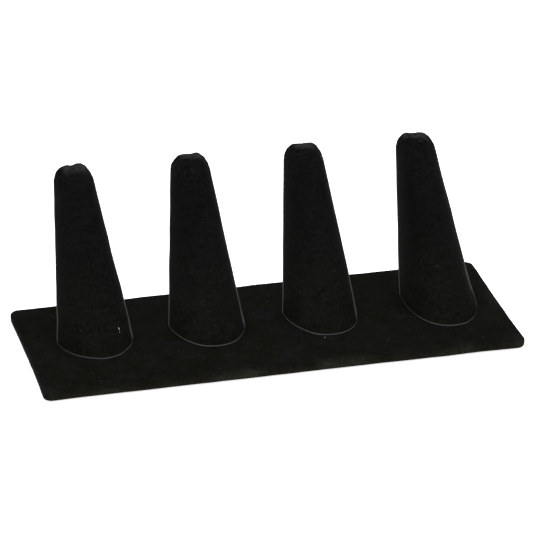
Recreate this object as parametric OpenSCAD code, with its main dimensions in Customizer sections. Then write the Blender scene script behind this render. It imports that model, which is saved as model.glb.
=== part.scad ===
// Ring display stand: four velvet covered fingers that lean back on a velvet wrapped base.
// The origin is the centre of the underside. X runs along the row of fingers to the right,
// Y runs to the back and Z runs up. All sizes are in millimetres.

/* [Base] */
// Length of the finished base over its velvet
base_l = 204.6; // [198:0.2:220]
// Depth of the finished base over its velvet
base_d = 77.6; // [76:0.2:100]
// Radius of the base's corners seen from above
base_corner_r = 3.5; // [3:0.5:10]
// Thickness of the board inside the base
board_t = 3; // [2.4:0.2:8]
// Rounding along the board's edges
board_ease = 0.8; // [0.4:0.1:1.1]
// Width of velvet turned in under the board
turn_in = 12; // [6:1:18]
// Thickness of the paper lining under the base
lining_t = 0.2; // [0.1:0.1:1]
// Margin between the lining and the base's edge
lining_inset = 4; // [3:0.5:5]

/* [Velvet] */
// Thickness of the velvet with its pile
velvet_t = 0.6; // [0.4:0.1:1]
// Clearance that the glue fills between the velvet and what it covers
glue_gap = 0.1; // [0.05:0.05:0.2]
// Width of velvet turned in under a finger's foot
hem_w = 5; // [3.5:0.5:6]
// Thickness of the overlap down the seam at a finger's back
lap_t = 0.5; // [0.2:0.1:0.8]
// Height of the gathered velvet on top of a finger's core
gather_h = 2.4; // [1.8:0.2:3]
// Depth of the small pleats round a finger's tip
pleat_depth = 0.3; // [0.1:0.1:0.4]

/* [Finger] */
// Height of a finger above the base
finger_h = 65.6; // [55:0.2:80]
// Width of a finger across its foot
foot_w = 31.4; // [28:0.2:36]
// Depth of a finger's foot from its round front to its flat back
foot_d = 27.6; // [26:0.2:30]
// Width of a finger at its tip
tip_w = 15; // [13:0.2:20]
// Depth of a finger at its tip
tip_d = 14.4; // [12:0.2:18]
// How far the tip's back edge lies behind the back edge of a foot of that depth
back_lean = 26.8; // [12:0.2:27]
// Height over which a finger's tip rounds off
round_h = 6.4; // [4:0.2:8]
// How far the tip's rounding comes in from each side
round_side = 4.4; // [3:0.2:5]
// How far the tip's rounding comes in from the front
round_front = 5; // [3:0.2:5.6]
// How far the tip's rounding comes in from the back
round_back = 3; // [2:0.2:4]
// Radius of the two upright corners beside the flat back, at the foot
back_corner_r = 3; // [2:0.5:4]
// Wall of the moulded core
core_wall = 1.8; // [1.4:0.1:2.4]
// Thickness of the ribs that tie the screw boss to the core's wall
rib_t = 1.4; // [1:0.2:2]

/* [Placing] */
// Spacing of the marks for the fingers
finger_pitch = 50; // [46:0.5:52]
// How far the row of marks sits right of the base's middle
row_right = 1.5; // [-3:0.5:3]
// How far the row of marks sits in front of the base's middle
row_forward = 1.5; // [0.5:0.5:4]
// How far each finger was fixed right of its mark, from the left
slip_right = [1.3, -0.2, -1.1, 0.9]; // [-1.5:0.1:1.5]
// How far each finger was fixed in front of its mark, from the left
slip_forward = [1.5, 0.1, 0.8, 0.2]; // [0:0.1:2]
// How far each finger is turned about its screw in degrees, from the left
turned = [4.5, 4.5, 1, -2]; // [-8:0.5:8]
// How far each tip leans to the right, from the left
side_lean = [0.4, 1.7, -0.3, -5]; // [-5:0.1:3]
// How much further back each tip leans, from the left
more_lean = [1.2, -1.2, -0.3, -1.1]; // [-2:0.1:2]
// How much taller each finger came out, from the left
taller = [0.2, 0.3, 0.1, -0.3]; // [-1:0.1:2]
// How much deeper each foot came out, from the left
foot_deeper = [-5, -1.3, -0.4, 7.9]; // [-5:0.1:8]
// How much wider each foot came out, from the left
foot_wider = [0, 0, 0, -1.2]; // [-2:0.2:1]
// How much squarer than an oval each foot's round front came out, from the left
foot_squarer = [0, 0, 0, 0.5]; // [0:0.1:0.6]
// Place of the crease in each tip, right of its middle, from the left
crease_x = [0, 0.6, -0.9, -0.7]; // [-2:0.1:2]
// Depth of the crease in each tip, from the left
crease_depth = [0.2, 0.2, 0.2, 0.2]; // [0.1:0.1:1.2]
// How much higher each tip's right side stands, from the left
tip_rise = [-0.4, 0.1, -0.3, -0.8]; // [-1:0.1:1]

/* [Screws] */
// Diameter of the screw's shank
screw_d = 3; // [2.6:0.1:3.5]
// Length of the screw with its head
screw_l = 14; // [12:0.5:15]
// Diameter of the countersunk head
screw_head_d = 6; // [5:0.1:6.6]
// Clearance round the screw in the boss and in the board
screw_gap = 0.1; // [0.05:0.05:0.2]
// Outer diameter of the screw boss in the core
boss_d = 7; // [6.5:0.1:8]
// Height of the boss above the base
boss_h = 14; // [12:0.5:16]
// How far the boss stands behind the middle of the finger's foot
boss_back = 4; // [3:0.5:5]

/* [Hidden] */
finger_count = 4;
$fn = 48;

// Steps round the front half of a finger's section and round each back corner
front_steps = 22;
corner_steps = 3;
// Marks across the flat back from right to left: beyond the overlap, both ends of the
// overlap, then beside its cut edge, as shares of the flat back's half width
back_marks = [0.8, 0.5, 0.05, 0, -0.5];
lap_marks = [0, 1, 1, 0, 0];
corner_share = back_corner_r / (foot_w / 2);
// Angles of the rings over a finger's tip and the heights of the rings below it
tip_angles = [90, 66, 44, 22, 0];
side_shares = [0.66, 0.33];
// Where the crease fades out to either side of its line
crease_w = 1.5;
// Size of the ring inside the flat of a tip, as a share of the flat
inner_ring = 0.5;

// Levels in the base from the floor up
wrap_z = lining_t;
wrap_t = board_t + 2 * (velvet_t + glue_gap);
cavity_z = wrap_z + velvet_t;
board_z = cavity_z + glue_gap;
base_top_z = wrap_z + wrap_t;

// Levels and insets in a finger, above the base
core_foot_z = velvet_t + glue_gap;
core_in = velvet_t + glue_gap;
wall_in = core_in + core_wall;
wall_mid_in = core_in + core_wall / 2;
// Share of the tip's rounding on the core and on the hollow inside it
core_rounding = 0.8;
hollow_rounding = 0.5;
pilot_floor = 2;
over = 1;

// A value at height z that goes straight from the foot's to the tip's
function towards_tip(foot, tip, z) = foot + (tip - foot) * z / finger_h;

// Half width, depth and back face of finger i's section at height z
function half_w_at(i, z) = towards_tip(foot_w + foot_wider[i], tip_w, z) / 2;
function depth_at(i, z) = towards_tip(foot_d + foot_deeper[i], tip_d, z);
function back_at(i, z) =
    towards_tip((foot_d + foot_deeper[i]) / 2, foot_d / 2 + back_lean + more_lean[i], z);
function front_at(i, z) = back_at(i, z) - depth_at(i, z);
function shift_at(i, z) = towards_tip(0, side_lean[i], z);
function height(i) = finger_h + taller[i];

// Power of the oval round a section's front: 2 for a plain oval, more for a squarer one
function power_at(i, z) = towards_tip(2 + foot_squarer[i], 2, z);

// Half width at a distance y behind the foot's middle, along the round front
function half_w_beside(i, z, y) = let (
    half_w = half_w_at(i, z),
    corner_r = corner_share * half_w,
    across = (back_at(i, z) - corner_r - y) / (depth_at(i, z) - corner_r),
    power = power_at(i, z)
) half_w * pow(1 - pow(across, power), 1 / power);

// Half oval in front, flat back with rounded corners, back face on the X axis
function outline(half_w, depth, power, lap) = let (
    r = corner_share * half_w,
    corner = [for (k = [1 : corner_steps]) let (a = 90 * k / corner_steps)
        [half_w - r * (1 - cos(a)), -r * (1 - sin(a))]]
) concat(
    [for (k = [0 : front_steps]) let (
        a = 180 * k / front_steps,
        x = -sign(cos(a)) * pow(abs(cos(a)), 2 / power),
        y = pow(sin(a), 2 / power)
    ) [half_w * x, -r - (depth - r) * y]],
    corner,
    [for (k = [0 : len(back_marks) - 1]) [back_marks[k] * (half_w - r), lap * lap_marks[k]]],
    [for (k = [corner_steps - 1 : -1 : 0]) [-corner[k][0], corner[k][1]]]
);

// Ring of points round finger i at height z, moved in from its surface by inset, and by
// the share of the tip's rounding that rounded gives
function ring(i, z, inset, rounded = 0, lap = 0) = [
    for (p = outline(
        half_w_at(i, z) - inset - rounded * round_side,
        depth_at(i, z) - 2 * inset - rounded * (round_front + round_back),
        power_at(i, z),
        lap
    )) [p[0] + shift_at(i, z), p[1] + back_at(i, z) - inset - rounded * round_back, z]
];

// Rings from the middle of a tip out to its side and on down to the foot. Size is the
// share of the full rounding that the skin's tip has
function skin_rings(i, top_z, size, inset, foot_z, lap = 0) = let (
    side_top_z = top_z - size * round_h
) concat(
    [for (a = tip_angles)
        ring(i, top_z - size * round_h * (1 - sin(a)), inset, size * (1 - cos(a)), lap * (1 - sin(a)))],
    [for (s = side_shares) ring(i, foot_z + s * (side_top_z - foot_z), inset, 0, lap)],
    [ring(i, foot_z, inset, 0, lap)]
);

// Gathered tip: small pleats round its edge and a crease from front to back
function crease_drop(i, x) = crease_depth[i] * exp(-pow((x - crease_x[i]) / crease_w, 2));
function gathered(i, ring, share, pleats) = let (
    middle = centre_of(ring)
) [
    for (k = [0 : len(ring) - 1]) let (
        p = ring[k],
        x = p[0] - middle[0],
        out = [x, p[1] - middle[1], 0] / norm([x, p[1] - middle[1]])
    ) p + out * pleats * pleat_depth * (k % 2)
      + [0, 0, share * (tip_rise[i] * x / tip_w - crease_drop(i, x))]
];
function centre_of(ring) = [for (axis = [0 : 2]) let (v = [for (p = ring) p[axis]]) sum(v) / len(v)];
function sum(v, k = 0) = k == len(v) ? 0 : v[k] + sum(v, k + 1);
function shrunk(ring, share) = let (middle = centre_of(ring))
    [for (p = ring) middle + (p - middle) * share];

// How strongly the crease and the pleats show in each ring from the tip's middle down
crease_shares = [1, 1, 0.85, 0.55, 0.25, 0.05];
pleat_shares = [0, 0.4, 1, 1, 0.7, 0.3];

// Closed solid through rings that run down one skin and up the other, with a fan at each end
module lofted(rings) {
    n = len(rings[0]);
    last = len(rings) - 1;
    points = concat([for (r = rings, p = r) p], [centre_of(rings[0]), centre_of(rings[last])]);
    first_middle = n * len(rings);
    strips = [
        for (j = [0 : last - 1], k = [0 : n - 1]) let (a = j * n + k, b = j * n + (k + 1) % n)
            each [[a, b, b + n], [a, b + n, a + n]]
    ];
    first_fan = [for (k = [0 : n - 1]) [first_middle, (k + 1) % n, k]];
    last_fan = [for (k = [0 : n - 1]) [first_middle + 1, last * n + k, last * n + (k + 1) % n]];
    polyhedron(points, concat(first_fan, strips, last_fan));
}

// Where finger i stands on the base
module at_finger(i) {
    mark_x = row_right + (i - (finger_count - 1) / 2) * finger_pitch;
    translate([mark_x + slip_right[i], -row_forward - slip_forward[i], 0])
        rotate(turned[i]) children();
}

// Where the screw of each finger stands
module at_screws() {
    for (i = [0 : finger_count - 1]) at_finger(i) translate([0, boss_back, 0]) children();
}

// Rectangle with round corners
module round_plan(l, d, r) {
    square([l, d - 2 * r], center = true);
    for (side = [0, 1]) mirror([0, side]) {
        translate([r - l / 2, d / 2 - r]) square([l - 2 * r, r]);
        for (end = [0, 1]) mirror([end, 0]) translate([l / 2 - r, d / 2 - r]) quarter(r);
    }
}

module quarter(r) {
    intersection() {
        circle(r);
        square(r);
    }
}

// Half section of a board's rounded edge, from the flat outwards
module edge_section(ease, t) {
    translate([0, ease]) square([ease, t - 2 * ease]);
    translate([0, ease]) mirror([0, 1]) quarter(ease);
    translate([0, t - ease]) quarter(ease);
}

// Board with round corners and rounded edges
module eased_board(l, d, r, t, ease) {
    linear_extrude(t) round_plan(l - 2 * ease, d - 2 * ease, r - ease);
    for (end = [0, 1]) mirror([end, 0, 0]) {
        edge_bar(l / 2 - ease, d - 2 * r, t, ease);
        for (side = [0, 1]) mirror([0, side, 0]) translate([l / 2 - r, d / 2 - r, 0])
            rotate_extrude(angle = 90) translate([r - ease, 0]) edge_section(ease, t);
    }
    for (turn = [90, 270]) rotate(turn) edge_bar(d / 2 - ease, l - 2 * r, t, ease);
}

module edge_bar(out, length, t, ease) {
    translate([out, length / 2, 0]) rotate([90, 0, 0])
        linear_extrude(length) edge_section(ease, t);
}

module base_board() {
    under = velvet_t + glue_gap;
    color([0.42, 0.29, 0.17]) difference() {
        translate([0, 0, board_z])
            eased_board(base_l - 2 * under, base_d - 2 * under, base_corner_r - under,
                board_t, board_ease);
        at_screws() translate([0, 0, board_z]) {
            translate([0, 0, -over]) cylinder(d = screw_d + 2 * screw_gap, h = board_t + 2 * over);
            screw_head(screw_gap);
        }
    }
}

module base_velvet() {
    color([0.07, 0.07, 0.065]) difference() {
        translate([0, 0, wrap_z])
            eased_board(base_l, base_d, base_corner_r, wrap_t, board_ease + glue_gap + velvet_t);
        translate([0, 0, cavity_z])
            eased_board(base_l - 2 * velvet_t, base_d - 2 * velvet_t, base_corner_r - velvet_t,
                board_t + 2 * glue_gap, board_ease + glue_gap);
        translate([0, 0, wrap_z - over]) linear_extrude(velvet_t + over + glue_gap)
            square([base_l - 2 * turn_in, base_d - 2 * turn_in], center = true);
        at_screws() translate([0, 0, base_top_z - velvet_t - over])
            cylinder(d = screw_d + 2 * screw_gap, h = velvet_t + 2 * over);
    }
}

module base_lining() {
    color([0.16, 0.16, 0.15]) linear_extrude(lining_t)
        round_plan(base_l - 2 * lining_inset, base_d - 2 * lining_inset, base_corner_r);
}

// Countersunk head with its flat face down, grown by gap for the hole that takes it
module screw_head(gap) {
    cylinder(d1 = screw_head_d + 2 * gap, d2 = screw_d + 2 * gap,
        h = (screw_head_d - screw_d) / 2);
}

module finger_screws() {
    point_h = screw_d / 2;
    point_d = screw_d / 5;
    color([0.75, 0.75, 0.72]) at_screws() translate([0, 0, board_z]) {
        screw_head(0);
        cylinder(d = screw_d, h = screw_l - point_h);
        translate([0, 0, screw_l - point_h]) cylinder(d1 = screw_d, d2 = point_d, h = point_h);
    }
}

// Moulded core of finger i: an open shell with a screw boss on two crossed ribs
module finger_core(i) {
    core_top = height(i) - gather_h - glue_gap;
    outer = skin_rings(i, core_top, core_rounding, core_in, core_foot_z);
    inner = skin_rings(i, core_top - core_wall, hollow_rounding, wall_in, core_foot_z);
    color([0.2, 0.2, 0.21]) translate([0, 0, base_top_z]) at_finger(i) difference() {
        union() {
            lofted(concat(outer, [for (j = [len(inner) - 1 : -1 : 0]) inner[j]]));
            translate([0, boss_back, core_foot_z]) cylinder(d = boss_d, h = boss_h - core_foot_z);
            long_rib(i);
            cross_rib(i);
        }
        translate([0, boss_back, core_foot_z - over])
            cylinder(d = screw_d + 2 * screw_gap, h = boss_h - core_foot_z - pilot_floor + over);
    }
}

// Rib from the front wall through the boss to the back wall
module long_rib(i) {
    rotate([90, 0, 90]) translate([0, 0, -rib_t / 2]) linear_extrude(rib_t) polygon([
        [front_at(i, core_foot_z) + wall_mid_in, core_foot_z],
        [back_at(i, core_foot_z) - wall_mid_in, core_foot_z],
        [back_at(i, boss_h) - wall_mid_in, boss_h],
        [front_at(i, boss_h) + wall_mid_in, boss_h]
    ]);
}

// Rib from side wall to side wall through the boss
module cross_rib(i) {
    low = half_w_beside(i, core_foot_z, boss_back) - wall_mid_in;
    high = half_w_beside(i, boss_h, boss_back) - wall_mid_in;
    translate([0, boss_back + rib_t / 2, 0]) rotate([90, 0, 0]) linear_extrude(rib_t) polygon([
        [-low, core_foot_z],
        [low, core_foot_z],
        [high + shift_at(i, boss_h), boss_h],
        [-high + shift_at(i, boss_h), boss_h]
    ]);
}

// Velvet sleeve of finger i: a hem under the foot, an overlapped seam down the back
// and a gathered tip
module finger_velvet(i) {
    plain = skin_rings(i, height(i), 1, 0, 0, lap_t);
    with_middle = concat([shrunk(plain[0], inner_ring)], plain);
    outer = [for (j = [0 : len(with_middle) - 1])
        j < len(crease_shares) ? gathered(i, with_middle[j], crease_shares[j], pleat_shares[j])
                               : with_middle[j]];
    hem = [ring(i, 0, hem_w), ring(i, velvet_t, hem_w)];
    inner = skin_rings(i, height(i) - gather_h, core_rounding, velvet_t, velvet_t);
    color([0.06, 0.06, 0.06]) translate([0, 0, base_top_z]) at_finger(i)
        lofted(concat(outer, hem, [for (j = [len(inner) - 1 : -1 : 0]) inner[j]]));
}

module finger_core_1() { finger_core(0); }
module finger_core_2() { finger_core(1); }
module finger_core_3() { finger_core(2); }
module finger_core_4() { finger_core(3); }
module finger_velvet_1() { finger_velvet(0); }
module finger_velvet_2() { finger_velvet(1); }
module finger_velvet_3() { finger_velvet(2); }
module finger_velvet_4() { finger_velvet(3); }

base_board();
base_velvet();
base_lining();
finger_core_1();
finger_core_2();
finger_core_3();
finger_core_4();
finger_velvet_1();
finger_velvet_2();
finger_velvet_3();
finger_velvet_4();
finger_screws();
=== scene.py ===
"""Looks of a ring display stand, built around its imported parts.

Four fingers with a D-shaped section lean back on a flat base. Fingers and base are wrapped
in black velvet: each sleeve is gathered over its finger's tip, lapped down the back and
turned in under the foot, and the base's cover is folded in under the board.
Sizes are in millimetres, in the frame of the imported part, and meshes are written in metres.
"""

import logging
import math
from dataclasses import dataclass, field
from enum import Enum

import bmesh
import bpy
import numpy as np
from mathutils import Matrix, Vector
from mathutils.bvhtree import BVHTree


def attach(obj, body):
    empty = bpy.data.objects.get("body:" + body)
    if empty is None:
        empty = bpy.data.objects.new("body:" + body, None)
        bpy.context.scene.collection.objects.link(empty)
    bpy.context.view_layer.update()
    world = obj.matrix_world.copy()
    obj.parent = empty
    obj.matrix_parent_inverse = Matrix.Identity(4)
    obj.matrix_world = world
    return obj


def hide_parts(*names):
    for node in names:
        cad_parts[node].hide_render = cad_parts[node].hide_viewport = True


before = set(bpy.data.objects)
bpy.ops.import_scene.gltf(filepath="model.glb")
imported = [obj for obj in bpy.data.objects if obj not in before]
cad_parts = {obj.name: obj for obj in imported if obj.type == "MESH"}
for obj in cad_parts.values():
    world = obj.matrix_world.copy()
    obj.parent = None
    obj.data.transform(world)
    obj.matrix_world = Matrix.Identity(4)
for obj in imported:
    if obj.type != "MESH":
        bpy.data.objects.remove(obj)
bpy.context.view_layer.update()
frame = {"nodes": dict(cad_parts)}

LOG = logging.getLogger("ring_stand")
MM = 0.001
BASE_TOP_Z = 4.6
Colour = tuple[float, float, float]
Point = tuple[float, float, float]
Span = tuple[float, float]
Socket = bpy.types.NodeSocket


# ---------------------------------------------------------------- numbers and meshes


def eased(low: float, high: float, x: np.ndarray) -> np.ndarray:
    """Smooth ramp over the values x, from 0 at low to 1 at high, which may be the smaller."""
    t = np.clip((x - low) / (high - low), 0.0, 1.0)
    return t * t * (3.0 - 2.0 * t)


def bell(x: np.ndarray, width: float) -> np.ndarray:
    """Bell curve of height 1 round x = 0, width to the point where it falls to 1/e."""
    return np.exp(-((x / width) ** 2))


def unit(vectors: np.ndarray) -> np.ndarray:
    """Vectors along the last axis, each brought to length 1."""
    return vectors / np.maximum(np.linalg.norm(vectors, axis=-1, keepdims=True), 1e-9)


def gap_to_line(points: np.ndarray, start: tuple, end: tuple) -> np.ndarray:
    """Distance of points, shape (..., d), from the straight line between two ends."""
    line, to_point = np.subtract(end, start), points - np.array(start)
    along = np.clip((to_point @ line) / max(line @ line, 1e-9), 0, 1)
    return np.linalg.norm(to_point - along[..., None] * line, axis=-1)


class SoftNoise:
    """Smooth seeded unevenness: a sum of plane waves near one wavelength."""

    def __init__(self, seed: int, wavelength: float, waves: int = 16) -> None:
        """Draws the waves.

        Args:
            seed: Seed of the draw, so that each run gives the same surface.
            wavelength: Middle wavelength in millimetres.
            waves: How many waves are added up.
        """
        rng = np.random.default_rng(seed)
        ways = unit(rng.normal(size=(waves, 3)))
        lengths = wavelength * rng.uniform(0.7, 1.5, waves)
        self.ways = ways * (2 * math.pi / lengths)[:, None]
        self.phases = rng.uniform(0, 2 * math.pi, waves)
        self.share = math.sqrt(2 / waves)

    def at(self, points: np.ndarray) -> np.ndarray:
        """Noise at points of shape (..., 3), with a spread of about 1."""
        return np.sin(points @ self.ways.T + self.phases).sum(-1) * self.share


def mesh_object(name: str, points: np.ndarray, faces: list) -> bpy.types.Object:
    """Makes a smooth shaded mesh object from points in millimetres and lists of point numbers."""
    mesh = bpy.data.meshes.new(name)
    mesh.from_pydata((points * MM).tolist(), [], faces)
    mesh.validate()
    mesh.shade_smooth()
    piece = bpy.data.objects.new(name, mesh)
    bpy.context.scene.collection.objects.link(piece)
    return piece


def ring_quads(count: int, n: int) -> list:
    """Faces between count rings of n points each."""
    k = np.arange(n)
    after = (k + 1) % n
    faces: list = []
    for j in range(count - 1):
        a, b = j * n + k, j * n + after
        faces += np.stack([a, a + n, b + n, b], 1).tolist()
    return faces


def lofted(name: str, rings: np.ndarray) -> bpy.types.Object:
    """Closed skin through rings of points, with a fan at each end.

    Args:
        name: Name of the piece.
        rings: Points in millimetres, shape (rings, points, 3).

    Returns:
        The new object. Its last two points are the middles of the fans.
    """
    count, n = rings.shape[:2]
    points = np.concatenate([rings.reshape(-1, 3), rings[:1].mean(1), rings[-1:].mean(1)])
    k = np.arange(n)
    after, last = (k + 1) % n, (count - 1) * n
    faces = ring_quads(count, n)
    faces += np.stack([np.full(n, count * n), k, after], 1).tolist()
    faces += np.stack([np.full(n, count * n + 1), last + after, last + k], 1).tolist()
    return mesh_object(name, points, faces)


def run_round(rings: np.ndarray) -> np.ndarray:
    """Way from the point before to the point after each point of its ring."""
    return np.roll(rings, -1, axis=1) - np.roll(rings, 1, axis=1)


def grid_normals(rings: np.ndarray) -> np.ndarray:
    """Outward normals of a grid of rings that run down round a shape, shape (r, n, 3)."""
    return unit(np.cross(np.gradient(rings, axis=0), run_round(rings)))


def put_values(piece: bpy.types.Object, name: str, values: np.ndarray, rest: float = 0.0) -> None:
    """Stores one number per point on a piece, for its material to read.

    Args:
        piece: The mesh object.
        name: Name of the attribute.
        values: Values of the first points.
        rest: Value of all points after them.
    """
    full = np.full(len(piece.data.vertices), rest, np.float32)
    full[: values.size] = values.ravel()
    piece.data.attributes.new(name, "FLOAT", "POINT").data.foreach_set("value", full)


# ---------------------------------------------------------------- node graphs


class Graph:
    """Adds and links the nodes of one material or one node group."""

    def __init__(self, tree: bpy.types.NodeTree) -> None:
        """Keeps the tree that the nodes go into."""
        self.tree = tree

    def add(self, kind: str, inputs: dict | None = None, **settings: object) -> bpy.types.Node:
        """Adds a node.

        Args:
            kind: Blender's type name without the ShaderNode in front.
            inputs: Socket name or number to a value, or to the output that feeds it.
            **settings: Properties of the node, such as operation.

        Returns:
            The new node.
        """
        node = self.tree.nodes.new("ShaderNode" + kind)
        for key, value in settings.items():
            setattr(node, key, value)
        for key, value in (inputs or {}).items():
            self.feed(node.inputs[key], value)
        return node

    def feed(self, socket: Socket, value: object) -> None:
        """Sets a socket to a constant, or links an output to it."""
        if isinstance(value, Socket):
            self.tree.links.new(value, socket)
        else:
            socket.default_value = value

    def math(self, operation: str, *values: object, clamp: bool = False) -> Socket:
        """Adds a Math node and returns its output."""
        return self.add("Math", dict(enumerate(values)), operation=operation, use_clamp=clamp).outputs[0]

    def ramp(self, value: object, low: object, high: object, start: object = 0.0,
             end: object = 1.0, smooth: bool = True) -> Socket:
        """Maps value from low..high to start..end, held at both ends, smoothly or straight."""
        return self.add("MapRange", {0: value, 1: low, 2: high, 3: start, 4: end},
                        interpolation_type="SMOOTHSTEP" if smooth else "LINEAR").outputs[0]

    def blend(self, share: object, first: object, second: object) -> Socket:
        """Mixes two colours by share and returns the result."""
        return self.add("Mix", {0: share, 6: first, 7: second}, data_type="RGBA").outputs[2]

    def scaled(self, vector: object, factor: object) -> Socket:
        """Multiplies a vector or a colour by one number."""
        return self.add("VectorMath", {0: vector, "Scale": factor}, operation="SCALE").outputs[0]

    def noise(self, place: object, size: object, detail: float = 2.0, roughness: float = 0.5) -> Socket:
        """Noise from 0 to 1 whose bumps are about size millimetres across."""
        scale = self.math("DIVIDE", 1.0, size) if isinstance(size, Socket) else 1.0 / size
        return self.add("TexNoise", {"Vector": place, "Scale": scale, "Detail": detail,
                                     "Roughness": roughness}).outputs[0]


def rgba(colour: Colour) -> tuple[float, float, float, float]:
    """Linear colour with full alpha."""
    return (*colour, 1.0)


class Effects:
    """Node groups for the effects that several materials share, each built once."""

    VECTORS = ("Place", "Stretch")

    def __init__(self) -> None:
        """Builds every group."""
        self.nap = self._nap()
        self.worn = self._worn()
        self.dust = self._dust()
        self.sheen_line = self._sheen_line()
        self.grain = self._grain()

    def _group(self, name: str, takes: str, gives: str) -> tuple[Graph, object, object]:
        """Makes an empty group.

        Args:
            name: Name of the group.
            takes: Names of its inputs with a space between them.
            gives: Names of its outputs, likewise.

        Returns:
            The group's graph, the sockets that bring its inputs and those that take its outputs.
        """
        tree = bpy.data.node_groups.new(name, "ShaderNodeTree")
        for names, way in ((takes, "INPUT"), (gives, "OUTPUT")):
            for socket in names.split():
                kind = "NodeSocketVector" if socket in self.VECTORS else "NodeSocketFloat"
                tree.interface.new_socket(socket, in_out=way, socket_type=kind)
        return Graph(tree), tree.nodes.new("NodeGroupInput").outputs, tree.nodes.new("NodeGroupOutput").inputs

    def _nap(self) -> bpy.types.NodeTree:
        """Velvet nap: fine grain of the pile and wide fields brushed one way or another."""
        g, takes, gives = self._group("velvet_nap", "Place Grain Brush Contrast", "Tone Height")
        place = takes["Place"]
        tufts = g.noise(place, takes["Grain"], 3.0, 0.62)
        streaks = g.add("Mapping", {"Vector": place, "Scale": (0.18, 0.18, 1.0)}).outputs[0]
        fields = ((tufts, 1.3), (g.noise(place, takes["Brush"], 2.0, 0.55), 0.6),
                  (g.noise(streaks, 0.9, 1.0), 0.5))
        fine, wide, across = (g.math("MULTIPLY", g.math("SUBTRACT", n, 0.5), share) for n, share in fields)
        uneven = g.math("ADD", g.math("ADD", fine, wide), across)
        g.feed(gives["Tone"], g.math("MULTIPLY_ADD", uneven, takes["Contrast"], 1.0))
        pile = g.noise(place, 0.16, 2.0, 0.7)
        g.feed(gives["Height"], g.math("MULTIPLY_ADD", pile, 0.55, g.math("MULTIPLY", tufts, 0.6)))
        return g.tree

    def _worn(self) -> bpy.types.NodeTree:
        """Rubbed places: a mask from how worn the surface is, broken up by fuzzy noise."""
        g, takes, gives = self._group("worn_place", "Place Wear Patch Even", "Mask")
        coarse = g.ramp(g.noise(takes["Place"], takes["Patch"], 3.0, 0.6), 0.34, 0.66, 0.3, 1.1)
        fine = g.ramp(g.noise(takes["Place"], 0.55, 2.0, 0.6), 0.32, 0.68, 0.45, 1.25)
        broken = g.ramp(takes["Even"], 0.0, 1.0, g.math("MULTIPLY", coarse, fine), 1.0, smooth=False)
        g.feed(gives["Mask"], g.math("MULTIPLY", broken, takes["Wear"], clamp=True))
        return g.tree

    def _dust(self) -> bpy.types.NodeTree:
        """Dust caught in the pile: rare tiny specks of differing strength."""
        g, takes, gives = self._group("pile_dust", "Place Cell Amount", "Mask")
        scale = g.math("DIVIDE", 1.0, takes["Cell"])
        cells = g.add("TexVoronoi", {"Vector": takes["Place"], "Scale": scale})
        speck = g.ramp(cells.outputs["Distance"], 0.05, 0.15, 1.0, 0.0)
        chosen = g.add("SeparateColor", {0: cells.outputs["Color"]}).outputs[0]
        kept = g.ramp(chosen, g.math("SUBTRACT", 1.0, takes["Amount"]), 1.0, smooth=False)
        g.feed(gives["Mask"], g.math("MULTIPLY", speck, kept))
        return g.tree

    def _sheen_line(self) -> bpy.types.NodeTree:
        """Painted sheen: a light line where the cloth turns away, of one width on any bend."""
        g, takes, gives = self._group("painted_sheen_line", "Facing Bend Width", "Mask")
        towards = g.math("SUBTRACT", 1.0, takes["Facing"])
        inwards = g.math("MULTIPLY", g.math("MULTIPLY", towards, towards),
                         g.math("MULTIPLY", takes["Bend"], 0.5))
        inner, outer = (g.math("MULTIPLY", takes["Width"], share) for share in (0.75, 1.25))
        g.feed(gives["Mask"], g.ramp(inwards, inner, outer, 1.0, 0.0))
        return g.tree

    def _grain(self) -> bpy.types.NodeTree:
        """Even surface grain for paper, plastic, board and metal, stretched along one way."""
        g, takes, gives = self._group("surface_grain", "Place Size Stretch", "Fine Wide")
        drawn = g.add("Mapping", {"Vector": takes["Place"], "Scale": takes["Stretch"]}).outputs[0]
        g.feed(gives["Fine"], g.noise(drawn, takes["Size"], 4.0, 0.6))
        g.feed(gives["Wide"], g.noise(drawn, g.math("MULTIPLY", takes["Size"], 9.0), 2.0, 0.5))
        return g.tree


class MaterialSheet(Graph):
    """Graph of a new material, with its shader and its place in millimetres."""

    def __init__(self, name: str) -> None:
        """Makes the material with this name, a shader and an output."""
        self.material = bpy.data.materials.new(name)
        self.material.use_nodes = True
        super().__init__(self.material.node_tree)
        self.tree.nodes.clear()
        self.shader = self.add("BsdfPrincipled")
        self.add("OutputMaterial", {0: self.shader.outputs[0]})
        self.place = self.scaled(self.add("TexCoord").outputs["Object"], 1 / MM)

    def group(self, tree: bpy.types.NodeTree, **inputs: object) -> object:
        """Places a shared effect with its own values.

        Args:
            tree: The node group.
            **inputs: Values or outputs for its inputs, apart from Place.

        Returns:
            The group's outputs.
        """
        node = self.add("Group", node_tree=tree)
        if "Place" in node.inputs:
            inputs["Place"] = self.place
        for key, value in inputs.items():
            self.feed(node.inputs[key], value)
        return node.outputs

    def stored(self, name: str) -> Socket:
        """Number that a piece's points carry under this name."""
        return self.add("Attribute", attribute_name=name).outputs["Fac"]

    def finished(self, colour: Socket, roughness: object, height: Socket | None = None,
                 depth_mm: float = 0.0, strength: float = 1.0, **constants: object) -> bpy.types.Material:
        """Feeds the shader.

        Args:
            colour: Base colour.
            roughness: Roughness.
            height: Height from 0 to 1 that bends the normal.
            depth_mm: Depth that a height of 1 stands for.
            strength: Share of the bump.
            **constants: The shader's other sockets, with _ for a space in their names.

        Returns:
            The finished material.
        """
        self.feed(self.shader.inputs["Base Color"], colour)
        self.feed(self.shader.inputs["Roughness"], roughness)
        if height is not None:
            node = self.add("Bump", {"Height": height, "Distance": depth_mm * MM, "Strength": strength})
            self.feed(self.shader.inputs["Normal"], node.outputs[0])
        for key, value in constants.items():
            self.shader.inputs[key.replace("_", " ")].default_value = value
        return self.material


# ---------------------------------------------------------------- finishes


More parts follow.
